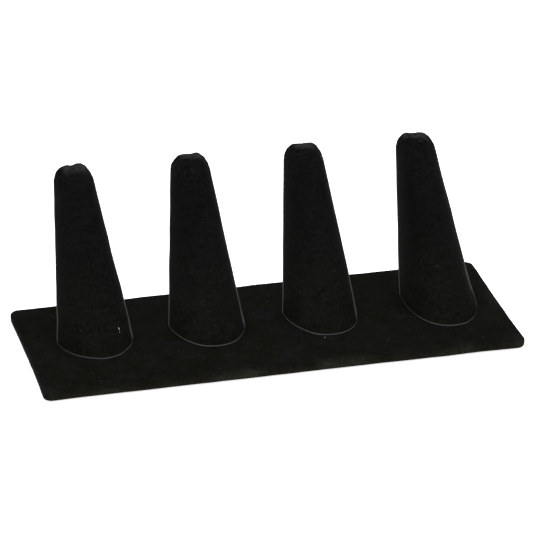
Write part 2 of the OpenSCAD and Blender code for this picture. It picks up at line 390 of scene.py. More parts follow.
@dataclass(frozen=True)
class VelvetFinish:
    """Black velvet with a short pile: soft sheen, brushed fields, rubbed places and dust.

    Colours run from warm low down to cool higher up; on the fingers the warm colour is also
    lighter, painted light where the base shades the foot. Lined adds a painted sheen line where
    the cloth turns away, and a light line in the same colour at the fold by the foot. The front
    flag adds the low colour on the base's front, painted light thrown up by the floor.
    """

    name: str
    # On the fingers the warm colour low down is lighter than the cool one higher up: painted light where the
    # base shades the foot.
    cool: Colour = (0.0032, 0.00326, 0.0032)
    warm: Colour = (0.0046, 0.0047, 0.00375)
    warm_below: float = 14.0
    cool_above: float = 44.0
    mixed_over: float = 60.0
    rubbed: Colour = (0.0200, 0.0200, 0.0206)
    # Colour of the painted sheen line, and of the light line at the fold by the foot.
    sheen_line: Colour = (0.055, 0.055, 0.055)
    sheen_line_width: float = 0.46
    lined: bool = True
    sheen_line_low: float = 1.0
    sheen_line_high: float = 0.3
    sheen_line_fades: Span = (18.0, 24.0)
    fold_line: float = 0.50
    floor_bounce_front: bool = False
    # Painted light from the floor: the low colour on the lower front of the base, within these heights and
    # depths.
    low: Colour = (0.0082, 0.0078, 0.0056)
    low_z: Span = (0.3, BASE_TOP_Z - 0.3)
    floor_bounce_y: Span = (-38.0, -35.0)
    patch: float = 1.6
    even: float = 0.35
    grain: float = 1.4
    brush: float = 9.0
    contrast: float = 1.5
    dust_fades: Span = (30.0, 46.0)
    dust: Colour = (0.030, 0.030, 0.028)
    dust_cell: float = 2.6
    dust_amount: float = 0.08
    pile_depth: float = 0.16
    sheen: float = 0.004
    sheen_roughness: float = 0.4

    def _pile(self, s: MaterialSheet, tone: Socket) -> Socket:
        """Colour of the pile by height, with painted floor light on the base's lower front, times the tone
        that the nap and the painted light and shade give it.
        """
        _, depth, level = s.add("SeparateXYZ", {0: s.place}).outputs
        cloud = s.math("SUBTRACT", s.noise(s.place, self.brush, 2.0), 0.5)
        mixed = s.math("MULTIPLY_ADD", cloud, self.mixed_over, level)
        pile = s.blend(s.ramp(mixed, self.warm_below, self.cool_above), rgba(self.warm), rgba(self.cool))
        # Painted light: the base's lower front is lit up as if by light from the floor.
        if self.floor_bounce_front:
            floor_bounce_share = s.math("MULTIPLY", s.ramp(level, *self.low_z, 1.0, 0.0, smooth=False),
                             s.ramp(depth, *self.floor_bounce_y, 1.0, 0.0))
            pile = s.blend(floor_bounce_share, pile, rgba(self.low))
        return s.scaled(pile, tone)

    def make(self, effects: Effects) -> bpy.types.Material:
        """Builds the material.

        Args:
            effects: The shared node groups.

        Returns:
            The velvet material. Its pieces carry the point values wear; shade, which holds painted
            light and shade and on the base partly the nap's own tone; and bend, for the painted sheen
            line, where it is lined.
        """
        s = MaterialSheet(self.name)
        nap = s.group(effects.nap, Grain=self.grain, Brush=self.brush, Contrast=self.contrast)
        level = s.add("SeparateXYZ", {0: s.place}).outputs[2]
        shade = s.stored("shade")
        # The shade values lighten and darken the pile: painted light and shade.
        pile = self._pile(s, s.math("MULTIPLY", nap["Tone"], shade))
        worn = s.group(effects.worn, Wear=s.stored("wear"), Patch=self.patch, Even=self.even)
        colour = s.blend(worn[0], pile, rgba(self.rubbed))
        if self.lined:
            # Painted sheen line where the cloth turns away, its colour scaled by the painted light and shade;
            # the same colour lightens the fold by the foot.
            ends = s.scaled(self.sheen_line, shade)
            turning = s.add("LayerWeight", {"Blend": 0.5}).outputs["Facing"]
            line = s.group(effects.sheen_line, Facing=turning, Bend=s.stored("bend"), Width=self.sheen_line_width)
            share = s.ramp(level, *self.sheen_line_fades, self.sheen_line_low, self.sheen_line_high)
            colour = s.blend(s.math("MULTIPLY", line[0], share), colour, ends)
            fold_from, fold_to = (BASE_TOP_Z + part * self.fold_line for part in (0.8, 1.2))
            colour = s.blend(s.ramp(level, fold_from, fold_to, 1.0, 0.0), colour, ends)
        specks = s.group(effects.dust, Cell=self.dust_cell, Amount=self.dust_amount)
        settled = s.math("MULTIPLY", specks[0], s.ramp(level, *self.dust_fades, 1.0, 0.0))
        colour = s.blend(settled, colour, rgba(self.dust))
        return s.finished(colour, s.ramp(nap["Height"], 0.3, 0.9, 0.88, 1.0), nap["Height"], self.pile_depth,
                          0.7, Specular_IOR_Level=0.02, Sheen_Weight=self.sheen,
                          Sheen_Roughness=self.sheen_roughness)


@dataclass(frozen=True)
class HardboardFinish:
    """Pressed brown hardboard: matted fibres, darker flecks and a faint weave of the screen."""

    name: str = "pressed_hardboard"
    light: Colour = (0.20, 0.115, 0.052)
    dark: Colour = (0.085, 0.045, 0.020)

    def make(self, effects: Effects) -> bpy.types.Material:
        """Builds the material from the shared node groups in effects."""
        s = MaterialSheet(self.name)
        fibres = s.group(effects.grain, Size=0.35, Stretch=(0.35, 1.0, 1.0))
        flecks = s.group(effects.dust, Cell=1.8, Amount=0.6)
        tone = s.math("MULTIPLY_ADD", fibres["Wide"], 0.5, s.math("MULTIPLY", fibres["Fine"], 0.6))
        colour = s.blend(s.ramp(tone, 0.3, 0.8), rgba(self.dark), rgba(self.light))
        colour = s.blend(s.math("MULTIPLY", flecks[0], 0.7), colour, rgba(self.dark))
        return s.finished(colour, s.ramp(fibres["Fine"], 0.3, 0.7, 0.62, 0.85), fibres["Fine"], 0.12)


@dataclass(frozen=True)
class LiningFinish:
    """Black backing paper with short felted fibres and rubbed high spots."""

    name: str = "backing_paper"
    ground: Colour = (0.020, 0.020, 0.019)
    fibre: Colour = (0.060, 0.060, 0.056)

    def make(self, effects: Effects) -> bpy.types.Material:
        """Builds the material from the shared node groups in effects."""
        s = MaterialSheet(self.name)
        felt, cross = (s.group(effects.grain, Size=0.5, Stretch=stretch)["Fine"]
                       for stretch in ((0.4, 1.0, 1.0), (1.0, 0.4, 1.0)))
        both = s.math("MAXIMUM", felt, cross)
        rubbed = s.group(effects.worn, Wear=0.35, Patch=14.0, Even=0.0)
        colour = s.blend(s.ramp(both, 0.5, 0.75), rgba(self.ground), rgba(self.fibre))
        colour = s.blend(rubbed[0], colour, rgba(self.fibre))
        return s.finished(colour, s.ramp(both, 0.4, 0.8, 0.7, 0.9), both, 0.06)


@dataclass(frozen=True)
class MouldedFinish:
    """Dark moulded plastic: spark eroded texture, flow marks and slightly greasy gloss."""

    name: str = "moulded_core"
    body: Colour = (0.030, 0.031, 0.033)
    flow: Colour = (0.045, 0.046, 0.048)

    def make(self, effects: Effects) -> bpy.types.Material:
        """Builds the material from the shared node groups in effects."""
        s = MaterialSheet(self.name)
        skin = s.group(effects.grain, Size=0.22, Stretch=(1.0, 1.0, 1.0))["Fine"]
        marks = s.group(effects.grain, Size=0.8, Stretch=(1.0, 1.0, 0.25))["Wide"]
        colour = s.blend(s.ramp(marks, 0.35, 0.7), rgba(self.body), rgba(self.flow))
        return s.finished(colour, s.ramp(skin, 0.3, 0.7, 0.38, 0.58), skin, 0.03)


@dataclass(frozen=True)
class ZincFinish:
    """Zinc plated screw steel: turning marks, rolled thread lines and uneven brightness."""

    name: str = "zinc_plated_steel"
    bright: Colour = (0.62, 0.62, 0.60)
    dull: Colour = (0.40, 0.41, 0.40)
    thread_pitch: float = 1.27

    def make(self, effects: Effects) -> bpy.types.Material:
        """Builds the material from the shared node groups in effects."""
        s = MaterialSheet(self.name)
        plating = s.group(effects.grain, Size=0.5, Stretch=(1.0, 1.0, 3.0))
        level = s.add("SeparateXYZ", {0: s.place}).outputs[2]
        turns = s.math("MULTIPLY", level, 2 * math.pi / self.thread_pitch)
        thread = s.math("MULTIPLY_ADD", s.math("SINE", turns), 0.5, 0.5)
        colour = s.blend(s.ramp(plating["Wide"], 0.35, 0.65), rgba(self.dull), rgba(self.bright))
        height = s.math("MULTIPLY_ADD", plating["Fine"], 0.15, thread)
        return s.finished(colour, s.ramp(plating["Fine"], 0.3, 0.7, 0.22, 0.42), height, 0.25, Metallic=1.0)


@dataclass(frozen=True)
class LintFinish:
    """Cotton lint: pale fibres, each with its own shade, slightly uneven along its length."""

    name: str = "cotton_lint"
    pale: Colour = (0.92, 0.91, 0.88)

    def make(self, effects: Effects) -> bpy.types.Material:
        """Builds the material from the shared node groups in effects."""
        s = MaterialSheet(self.name)
        fibre = s.group(effects.grain, Size=0.3, Stretch=(1.0, 1.0, 1.0))["Fine"]
        shade = s.math("MULTIPLY", s.stored("shade"), s.ramp(fibre, 0.3, 0.7, 0.75, 1.1))
        return s.finished(s.scaled(self.pale, shade), 0.9, fibre, 0.02, Specular_IOR_Level=0.1)


@dataclass(frozen=True)
class FloorFinish:
    """Plain white sweep of the studio."""

    name: str = "studio_floor"
    white: Colour = (0.93, 0.93, 0.93)
    glow: float = 0.6

    def make(self) -> bpy.types.Material:
        """Builds the material."""
        s = MaterialSheet(self.name)
        near = tuple(0.995 * c for c in self.white)
        colour = s.blend(s.noise(s.place, 60.0, 1.0), rgba(near), rgba(self.white))
        return s.finished(colour, 1.0, Specular_IOR_Level=0.0, Emission_Color=rgba((1.0, 1.0, 1.0)),
                          Emission_Strength=self.glow)


# ---------------------------------------------------------------- fingers


@dataclass(frozen=True)
class TipFold:
    """A straight ridge or furrow in the gathered velvet on a tip.

    Its ends are given right of and behind the tip's middle. A negative rise is a furrow.
    """

    x0: float
    y0: float
    x1: float
    y1: float
    rise: float
    width: float


@dataclass(frozen=True)
class Mark:
    """A small dent or ridge along a short line in a sleeve, darker or lighter than the cloth.

    Its two ends are in the part's frame. A negative rise is a dent, a negative tone is darker: painted shade
    in the dents and painted highlights on the ridges.
    """

    start: Point
    end: Point
    width: float
    rise: float
    tone: float


def pit(x: float, y: float, z: float, width: float = 0.6, tone: float = -0.85) -> Mark:
    """A small dent at one point, darkened with painted shade."""
    return Mark((x, y, z), (x, y, z), width, -0.12, tone)


@dataclass(frozen=True)
class TipWear:
    """How the pile on a tip is rubbed and how it stands.

    Front and side are shares of the tip's flat that the rubbing reaches, share is its
    strength, fade the part of the flat over which it ends, lift how far the pile stands up
    over the flat, and skew turns the rubbing's front edge.
    """

    front: float
    side: float
    share: float
    fade: float = 0.15
    lift: float = 0.0
    skew: float = 0.0


@dataclass(frozen=True)
class FingerPlace:
    """How one finger was fixed on the base, how its tip was gathered and how its hem stands.

    Hem holds how far the cloth stands out at the foot, every 30 degrees from behind the
    right side over the front to behind the left side. Pairs are for the left and the right
    side: flare is how far the lower cloth stands out, nap how light the whole side is and low
    how light its lower part is, both painted light and shade that even out the light beside
    the neighbouring fingers. One more number gives how light the middle is, painted light as well.
    """

    number: int
    slip_right: float
    slip_forward: float
    turned: float
    side_lean: float
    more_lean: float
    taller: float
    foot_deeper: float
    foot_wider: float
    foot_squarer: float
    crease_x: float
    crease_depth: float
    tip_rise: float
    tip: TipWear
    hem: tuple[float, ...]
    flare: Span
    nap: Span
    low: Span
    middle_light: float
    folds: tuple[TipFold, ...]
    marks: tuple[Mark, ...]


@dataclass(frozen=True)
class FingerSizes:
    """Sizes that the four fingers share."""

    height: float = 65.6
    foot_w: float = 31.4
    foot_d: float = 27.6
    tip_w: float = 15.0
    tip_d: float = 14.4
    back_lean: float = 26.8
    round_h: float = 6.4
    round_side: float = 4.4
    round_front: float = 5.0
    round_back: float = 3.0
    back_corner_r: float = 3.0
    velvet_t: float = 0.6
    hem_w: float = 5.0
    lap_t: float = 0.5
    gather_h: float = 2.4
    core_rounding: float = 0.8
    foot_fold_r: float = 0.3
    crease_w: float = 1.5
    pitch: float = 50.0
    row_right: float = 1.5
    row_forward: float = 1.5
    count: int = 4


@dataclass(frozen=True)
class Station:
    """One ring of a sleeve: its height, how far it is moved in, and how it is shaped."""

    z: float
    inset: float = 0.0
    rounded: float = 0.0
    lap: float = 0.0
    shrunk: float = 1.0
    crease: float = 0.0


@dataclass
class VelvetSleeve:
    """The velvet over one finger, from the gathered tip down to the hem under the foot.

    The bends tell the painted sheen line how tightly the cloth turns: widest is the most that a
    bend counts, flat is added on the tip's flat, and back multiplies it on the back. The pleats
    start and stop within the given ways down from the tip's middle.
    """

    TIP_SHARES = (0.06, 0.15, 0.27, 0.4, 0.52, 0.64, 0.76, 0.88, 1.0)
    CREASE_FADE = ((0, 22, 44, 66, 90), (0.05, 0.25, 0.55, 0.85, 1))
    FOOT_LEVELS = (2.4, 1.8, 1.3, 1.0, 0.75, 0.6, 0.5, 0.4)
    FOLD_ANGLES = (0, 22, 45, 68, 90)

    place: FingerPlace
    sizes: FingerSizes = field(default_factory=FingerSizes)
    front_points: int = 112
    corner_points: int = 12
    tip_rings: int = 28
    side_rings: int = 54
    pleats: int = 26
    pleat_seed: int = 40
    pleat_start: Span = (0.6, 3.4)
    pleat_stop: Span = (7.5, 14.0)
    pleat_depth: Span = (0.04, 0.15)
    pleat_width: Span = (0.045, 0.09)
    pleat_drift: float = 0.05
    crumple_seed: int = 70
    crumple_size: float = 2.4
    crumple: float = 0.07
    settle_seed: int = 90
    settle_size: float = 13.0
    settle: float = 0.035
    widest_bend: float = 150.0
    flat_bend: float = 20.0
    back_bend: float = 5.0
    pile_stand: float = 0.21
    foot_flare: float = 0.09
    flare_z: Span = (28.0, 18.0)
    hem_z: Span = (0.0, 9.0)
    hem_from: float = -30.0
    hem_step: float = 30.0
    # Painted light and shade on the lower sides, full below the second height and gone above the first, and
    # painted light on the middle round its height.
    low_z: Span = (34.0, 14.0)
    middle_light_z: float = 36.0
    middle_light_half: float = 14.0
    seam_wear: float = 0.05

    def foot(self) -> Span:
        """Where the foot's middle stands on the base, right and back."""
        z, p = self.sizes, self.place
        x = z.row_right + (p.number - 1 - (z.count - 1) / 2) * z.pitch + p.slip_right
        return x, -z.row_forward - p.slip_forward

    def _back_marks(self) -> tuple[np.ndarray, np.ndarray]:
        """Marks across the flat back from right to left, and how far each is on the lap."""
        marks = np.concatenate([
            np.linspace(0.96, 0.1, 19), [0.065, 0.045, 0.03, 0.015, 0.0, -0.03],
            np.linspace(-0.09, -0.96, 18),
        ])
        return marks, eased(0.82, 0.5, marks) * eased(0.005, 0.05, marks)

    def _section(self, half_w: np.ndarray, depth: np.ndarray, power: np.ndarray, lap: np.ndarray
                 ) -> tuple[np.ndarray, np.ndarray]:
        """Half oval in front, flat back with round corners, for several rings at once.

        Args:
            half_w: Half width of each ring, shape (r, 1).
            depth: Depth of each ring, shape (r, 1).
            power: Power of the oval in front, 2 for a plain one, shape (r, 1).
            lap: Height of the seam's overlap in each ring, shape (r, 1).

        Returns:
            X and Y of the points, with the back face on y = 0.
        """
        s = self.sizes
        r = half_w * s.back_corner_r / (s.foot_w / 2)
        a = np.linspace(0, math.pi, self.front_points + 1)[None]
        b = (np.arange(1, self.corner_points + 1) / self.corner_points * math.pi / 2)[None]
        marks, raised = self._back_marks()
        across = np.sign(np.cos(a)) * np.abs(np.cos(a)) ** (2 / power)
        ahead = np.abs(np.sin(a)) ** (2 / power)
        corner_x, corner_y = half_w - r * (1 - np.cos(b)), -r * (1 - np.sin(b))
        x = np.concatenate([-half_w * across, corner_x, marks * (half_w - r), -corner_x[:, ::-1]], 1)
        y = np.concatenate([-r - (depth - r) * ahead, corner_y, lap * raised, corner_y[:, ::-1]], 1)
        return x, y

    def _rings(self, stations: list[Station]) -> np.ndarray:
        """Rings of points in the finger's own frame, shape (stations, points, 3)."""
        s, p = self.sizes, self.place
        z, inset, rounded, lap, shrunk = np.array([
            (t.z, t.inset, t.rounded, t.lap, t.shrunk) for t in stations
        ]).T[:, :, None]
        share = z / s.height
        foot_w, foot_d = s.foot_w + p.foot_wider, s.foot_d + p.foot_deeper
        half_w = (foot_w + (s.tip_w - foot_w) * share) / 2 - inset - rounded * s.round_side
        depth = foot_d + (s.tip_d - foot_d) * share - 2 * inset - rounded * (s.round_front + s.round_back)
        x, y = self._section(half_w, depth, 2 + p.foot_squarer * (1 - share), lap * s.lap_t)
        tip_back = s.foot_d / 2 + s.back_lean + p.more_lean
        x = x + p.side_lean * share
        y = y + foot_d / 2 + (tip_back - foot_d / 2) * share - inset - rounded * s.round_back
        middle_x, middle_y = x.mean(1, keepdims=True), y.mean(1, keepdims=True)
        x, y = middle_x + (x - middle_x) * shrunk, middle_y + (y - middle_y) * shrunk
        return np.stack([x, y, np.broadcast_to(z, x.shape)], 2)

    def _outer_stations(self) -> list[Station]:
        """Rings from the middle of the tip down the outside to the fold at the foot."""
        s = self.sizes
        top, fold = s.height + self.place.taller, s.foot_fold_r
        stations = [Station(top, rounded=1, shrunk=share, crease=1)
                    for share in self.TIP_SHARES]
        for a in np.radians(np.linspace(90, 0, self.tip_rings)[1:]):
            up = math.sin(a)
            crease = float(np.interp(math.degrees(a), *self.CREASE_FADE))
            stations.append(Station(top - s.round_h * (1 - up), rounded=1 - math.cos(a), lap=1 - up,
                                    crease=crease))
        side = np.linspace(top - s.round_h, self.FOOT_LEVELS[0], self.side_rings)
        levels = [*side[1:], *self.FOOT_LEVELS[1:]]
        stations += [Station(float(z), lap=1) for z in levels]
        stations += [Station(fold * (1 - math.sin(b)), inset=fold * (1 - math.cos(b)), lap=1)
                     for b in np.radians(self.FOLD_ANGLES)]
        return stations

    def _inner_stations(self) -> list[Station]:
        """Rings of the hem under the foot, its cut edge, and the skin inside up to the tip."""
        s = self.sizes
        hem = [Station(0, inset=1.0, lap=0.6), Station(0, inset=2.4), Station(0, inset=s.hem_w)]
        hem += [Station(z, inset=s.hem_w) for z in (0.5 * s.velvet_t, s.velvet_t)]
        top, rounding = s.height + self.place.taller - s.gather_h, s.core_rounding
        levels = np.linspace(s.velvet_t, top - rounding * s.round_h, 10)
        inside = [Station(float(z), inset=s.velvet_t) for z in levels]
        inside += [Station(top - rounding * s.round_h * (1 - math.sin(a)), inset=s.velvet_t,
                           rounded=rounding * (1 - math.cos(a)))
                   for a in np.radians(np.linspace(0, 90, 9)[1:])]
        return hem + inside

    def _pleated(self, rings: np.ndarray) -> np.ndarray:
        """How far the gathers, folds and puckers stand out from the sleeve.

        Args:
            rings: Outer rings in the finger's own frame, shape (r, n, 3).

        Returns:
            Distance outward of each point, shape (r, n).
        """
        off = rings - rings.mean(1, keepdims=True)
        steps = np.linalg.norm(np.diff(rings, axis=0), axis=2).mean(1)
        arc = np.concatenate([[0], np.cumsum(steps)])[:, None] + 0.3
        angle = np.arctan2(off[..., 1], off[..., 0])
        rng = np.random.default_rng(self.pleat_seed + self.place.number)
        spans = (self.pleat_start, self.pleat_stop, self.pleat_depth, self.pleat_width)
        around = (np.arange(self.pleats) + rng.uniform(-0.36, 0.36, self.pleats)) / self.pleats
        out = np.zeros(rings.shape[:2])
        for share in around:
            away = np.angle(np.exp(1j * (angle - 2 * math.pi * share)))
            start, stop, depth, width = [rng.uniform(*span) for span in spans]
            drift = rng.uniform(-self.pleat_drift, self.pleat_drift) * (arc - 6) / 6
            here = eased(start, start + 1.8, arc) * (1 - eased(stop - 4, stop, arc))
            out -= depth * bell(away - drift, width) * here
        out -= out.mean(1, keepdims=True)
        for f in self.place.folds:
            gap = gap_to_line(off[..., :2], (f.x0, f.y0), (f.x1, f.y1))
            out += f.rise * bell(gap, f.width) * (1 - eased(5.5, 8.5, arc))
        crumple = SoftNoise(self.crumple_seed + self.place.number, self.crumple_size).at(rings)
        return out + self.crumple * crumple * (1 - eased(9.0, 14.0, arc))

    def _stand(self, rings: np.ndarray) -> np.ndarray:
        """How far pile and hem stand out from the plain sleeve, as offsets of each point.

        Args:
            rings: Outer rings in the finger's own frame, shape (r, n, 3).

        Returns:
            Offsets of shape (r, n, 3), level near the foot and along the normals above it.
        """
        p, z = self.place, rings[..., 2]
        off = rings[..., :2] - (rings.max(1, keepdims=True) + rings.min(1, keepdims=True))[..., :2] / 2
        across = off[..., 0] / np.abs(off[..., 0]).max(1, keepdims=True)
        sides = p.flare[0] * eased(-0.3, -0.9, across) + p.flare[1] * eased(0.3, 0.9, across)
        body = self.pile_stand + (self.foot_flare + sides) * eased(*self.flare_z, z)
        way = np.degrees(np.arctan2(-off[..., 1], off[..., 0])) - p.turned
        way = np.where(way < -90, way + 360, way)
        hem = sum(out * eased(self.hem_step, 0.0, np.abs(way - (self.hem_from + j * self.hem_step)))
                  for j, out in enumerate(p.hem))
        stand = hem + (body - hem) * eased(*self.hem_z, z)
        along = run_round(rings)
        level = np.stack([-along[..., 1], along[..., 0], np.zeros_like(z)], -1)
        level = unit(level * np.sign((level[..., :2] * off).sum(-1, keepdims=True)))
        raised = eased(1.0, 6.0, z)[..., None]
        return (level * (1 - raised) + grid_normals(rings) * raised) * stand[..., None]

    def _toned(self, world: np.ndarray, across: np.ndarray) -> tuple[np.ndarray, np.ndarray]:
        """How far the marks stand out, and how light the cloth is: painted shade and highlights at the marks,
        and painted light and shade on the sides, the lower sides and the middle.

        Args:
            world: Outer rings in the part's frame, shape (r, n, 3).
            across: Place of each point across its ring, -1 at the left and 1 at the right.

        Returns:
            Distance outward of each point, and its share of the cloth's tone.
        """
        p = self.place
        out, shade = np.zeros(world.shape[:2]), np.ones(world.shape[:2])
        for m in p.marks:
            near = bell(gap_to_line(world, m.start, m.end), m.width)
            out += m.rise * near
            shade *= 1 + m.tone * near
        # Painted light and shade: whole sides and lower sides lighter or darker to even out the light beside
        # the neighbouring fingers, and the middle lighter.
        shade *= (1 + p.nap[0] * eased(-0.4, -1.0, across)) * (1 + p.nap[1] * eased(0.4, 1.0, across))
        sides = p.low[0] * eased(0.0, -0.6, across) + p.low[1] * eased(0.0, 0.6, across)
        shade *= 1 + eased(*self.low_z, world[..., 2]) * sides
        return out, shade * (1 + p.middle_light * bell(world[..., 2] - self.middle_light_z, self.middle_light_half))

    def _bends(self, rings: np.ndarray) -> np.ndarray:
        """Radius of the bend round each ring, evened out over a few millimetres."""
        radii = np.empty(rings.shape[:2])
        for j, ring in enumerate(rings):
            ahead = np.roll(ring, -1, axis=0) - ring
            steps = np.linalg.norm(ahead, axis=1)
            behind = np.roll(ahead, 1, axis=0)
            cross = behind[:, 0] * ahead[:, 1] - behind[:, 1] * ahead[:, 0]
            turn = np.abs(np.arctan2(cross, (behind * ahead).sum(1)))
            place = np.concatenate([[0], np.cumsum(steps)[:-1]])
            gap = np.abs(place[:, None] - place[None])
            near = bell(np.minimum(gap, steps.sum() - gap), 2.3)
            radii[j] = 1 / np.maximum((near @ turn) / (near @ steps), 1 / self.widest_bend)
        return radii

    def _placed(self, rings: np.ndarray) -> np.ndarray:
        """Rings moved from the finger's own frame to the part's frame."""
        turn = math.radians(self.place.turned)
        x, y, z = rings[..., 0], rings[..., 1], rings[..., 2]
        foot_x, foot_y = self.foot()
        return np.stack([
            x * math.cos(turn) - y * math.sin(turn) + foot_x,
            x * math.sin(turn) + y * math.cos(turn) + foot_y,
            z + BASE_TOP_Z,
        ], -1)

    def _wear(self, outer: np.ndarray, relief: np.ndarray) -> np.ndarray:
        """How rubbed each point is: the flat of the tip, its ridges and the seam's edge.

        Args:
            outer: Outer rings in the finger's own frame.
            relief: How far each point stands out from the plain sleeve.

        Returns:
            Wear from 0 to 1.
        """
        s, p, t = self.sizes, self.place, self.place.tip
        flat_back = s.foot_d / 2 + s.back_lean + p.more_lean - s.round_back
        forward = (flat_back - outer[..., 1]) / (s.tip_d - s.round_front - s.round_back)
        right = (outer[..., 0] - p.side_lean) / (s.tip_w / 2 - s.round_side)
        forward = forward + t.skew * right
        near_top = eased(-3.4, -2.0, outer[..., 2] - s.height - p.taller)
        tip = near_top * eased(t.front + t.fade, t.front - t.fade, forward)
        tip *= 1 - 0.4 * np.clip(forward / t.front, 0, 1)
        tip *= eased(t.side + 0.2, t.side - 0.35, np.abs(right)) * eased(-1.0, -0.4, forward)
        tip *= t.share * np.clip(0.95 + 2.0 * relief, 0.2, 1.3)
        marks, _ = self._back_marks()
        start = self.front_points + 1 + self.corner_points
        seam = np.zeros(outer.shape[1])
        seam[start:start + len(marks)] = self.seam_wear * bell(marks - 0.04, 0.035)
        return np.clip(tip + seam[None] * (1 - near_top), 0, 1)

    def build(self) -> bpy.types.Object:
        """Builds the sleeve as one closed mesh with its wear, shade and bend values.

        Returns:
            The new piece, in the part's frame.
        """
        s, p = self.sizes, self.place
        stations = self._outer_stations()
        outer = self._rings(stations)
        normals = grid_normals(outer)
        pleats = self._pleated(outer)
        settled = SoftNoise(self.settle_seed + p.number, self.settle_size).at(outer) * self.settle
        settled = settled * eased(0.5, 4.0, outer[..., 2])
        x = outer[..., 0] - outer[..., 0].mean(1, keepdims=True)
        share = np.array([t.crease for t in stations])[:, None]
        bend = self._bends(outer) * (1 + (self.back_bend - 1) * eased(0.45, 0.8, normals[..., 1]))
        bend += self.flat_bend * share
        flat = eased(1.8, 1.1, np.abs(x) / (s.tip_w / 2 - s.round_side))
        drop = share * (p.tip_rise * x / s.tip_w - p.crease_depth * bell(x - p.crease_x, s.crease_w)
                        + p.tip.lift * flat)
        outer = outer + normals * (pleats + settled)[..., None] + self._stand(outer)
        outer[..., 2] += drop
        wear = self._wear(outer, pleats)
        outer = self._placed(outer)
        # The shade values are painted light and shade.
        marks, shade = self._toned(outer, x / np.abs(x).max(1, keepdims=True))
        outer += grid_normals(outer) * marks[..., None]
        inner = self._placed(self._rings(self._inner_stations()))
        piece = lofted(f"finger_sleeve_{p.number}", np.concatenate([outer, inner]))
        put_values(piece, "wear", wear)
        put_values(piece, "shade", shade, rest=1.0)
        put_values(piece, "bend", bend, rest=self.widest_bend)
        return piece


# ---------------------------------------------------------------- base


@dataclass(frozen=True)
class WornPatch:
    """A rubbed place along the base's edge: its middle and half sizes, and its strength."""

    x: float
    y: float
    z: float
    half_x: float
    half_y: float
    half_z: float
    strength: float


@dataclass(frozen=True)
class NapAndLightPlace:
    """A soft field on the base made lighter or darker, partly the nap's own tone and partly painted light and
    shade, with its half sizes.
    """

    x: float
    y: float
    half_x: float
    half_y: float
    tone: float


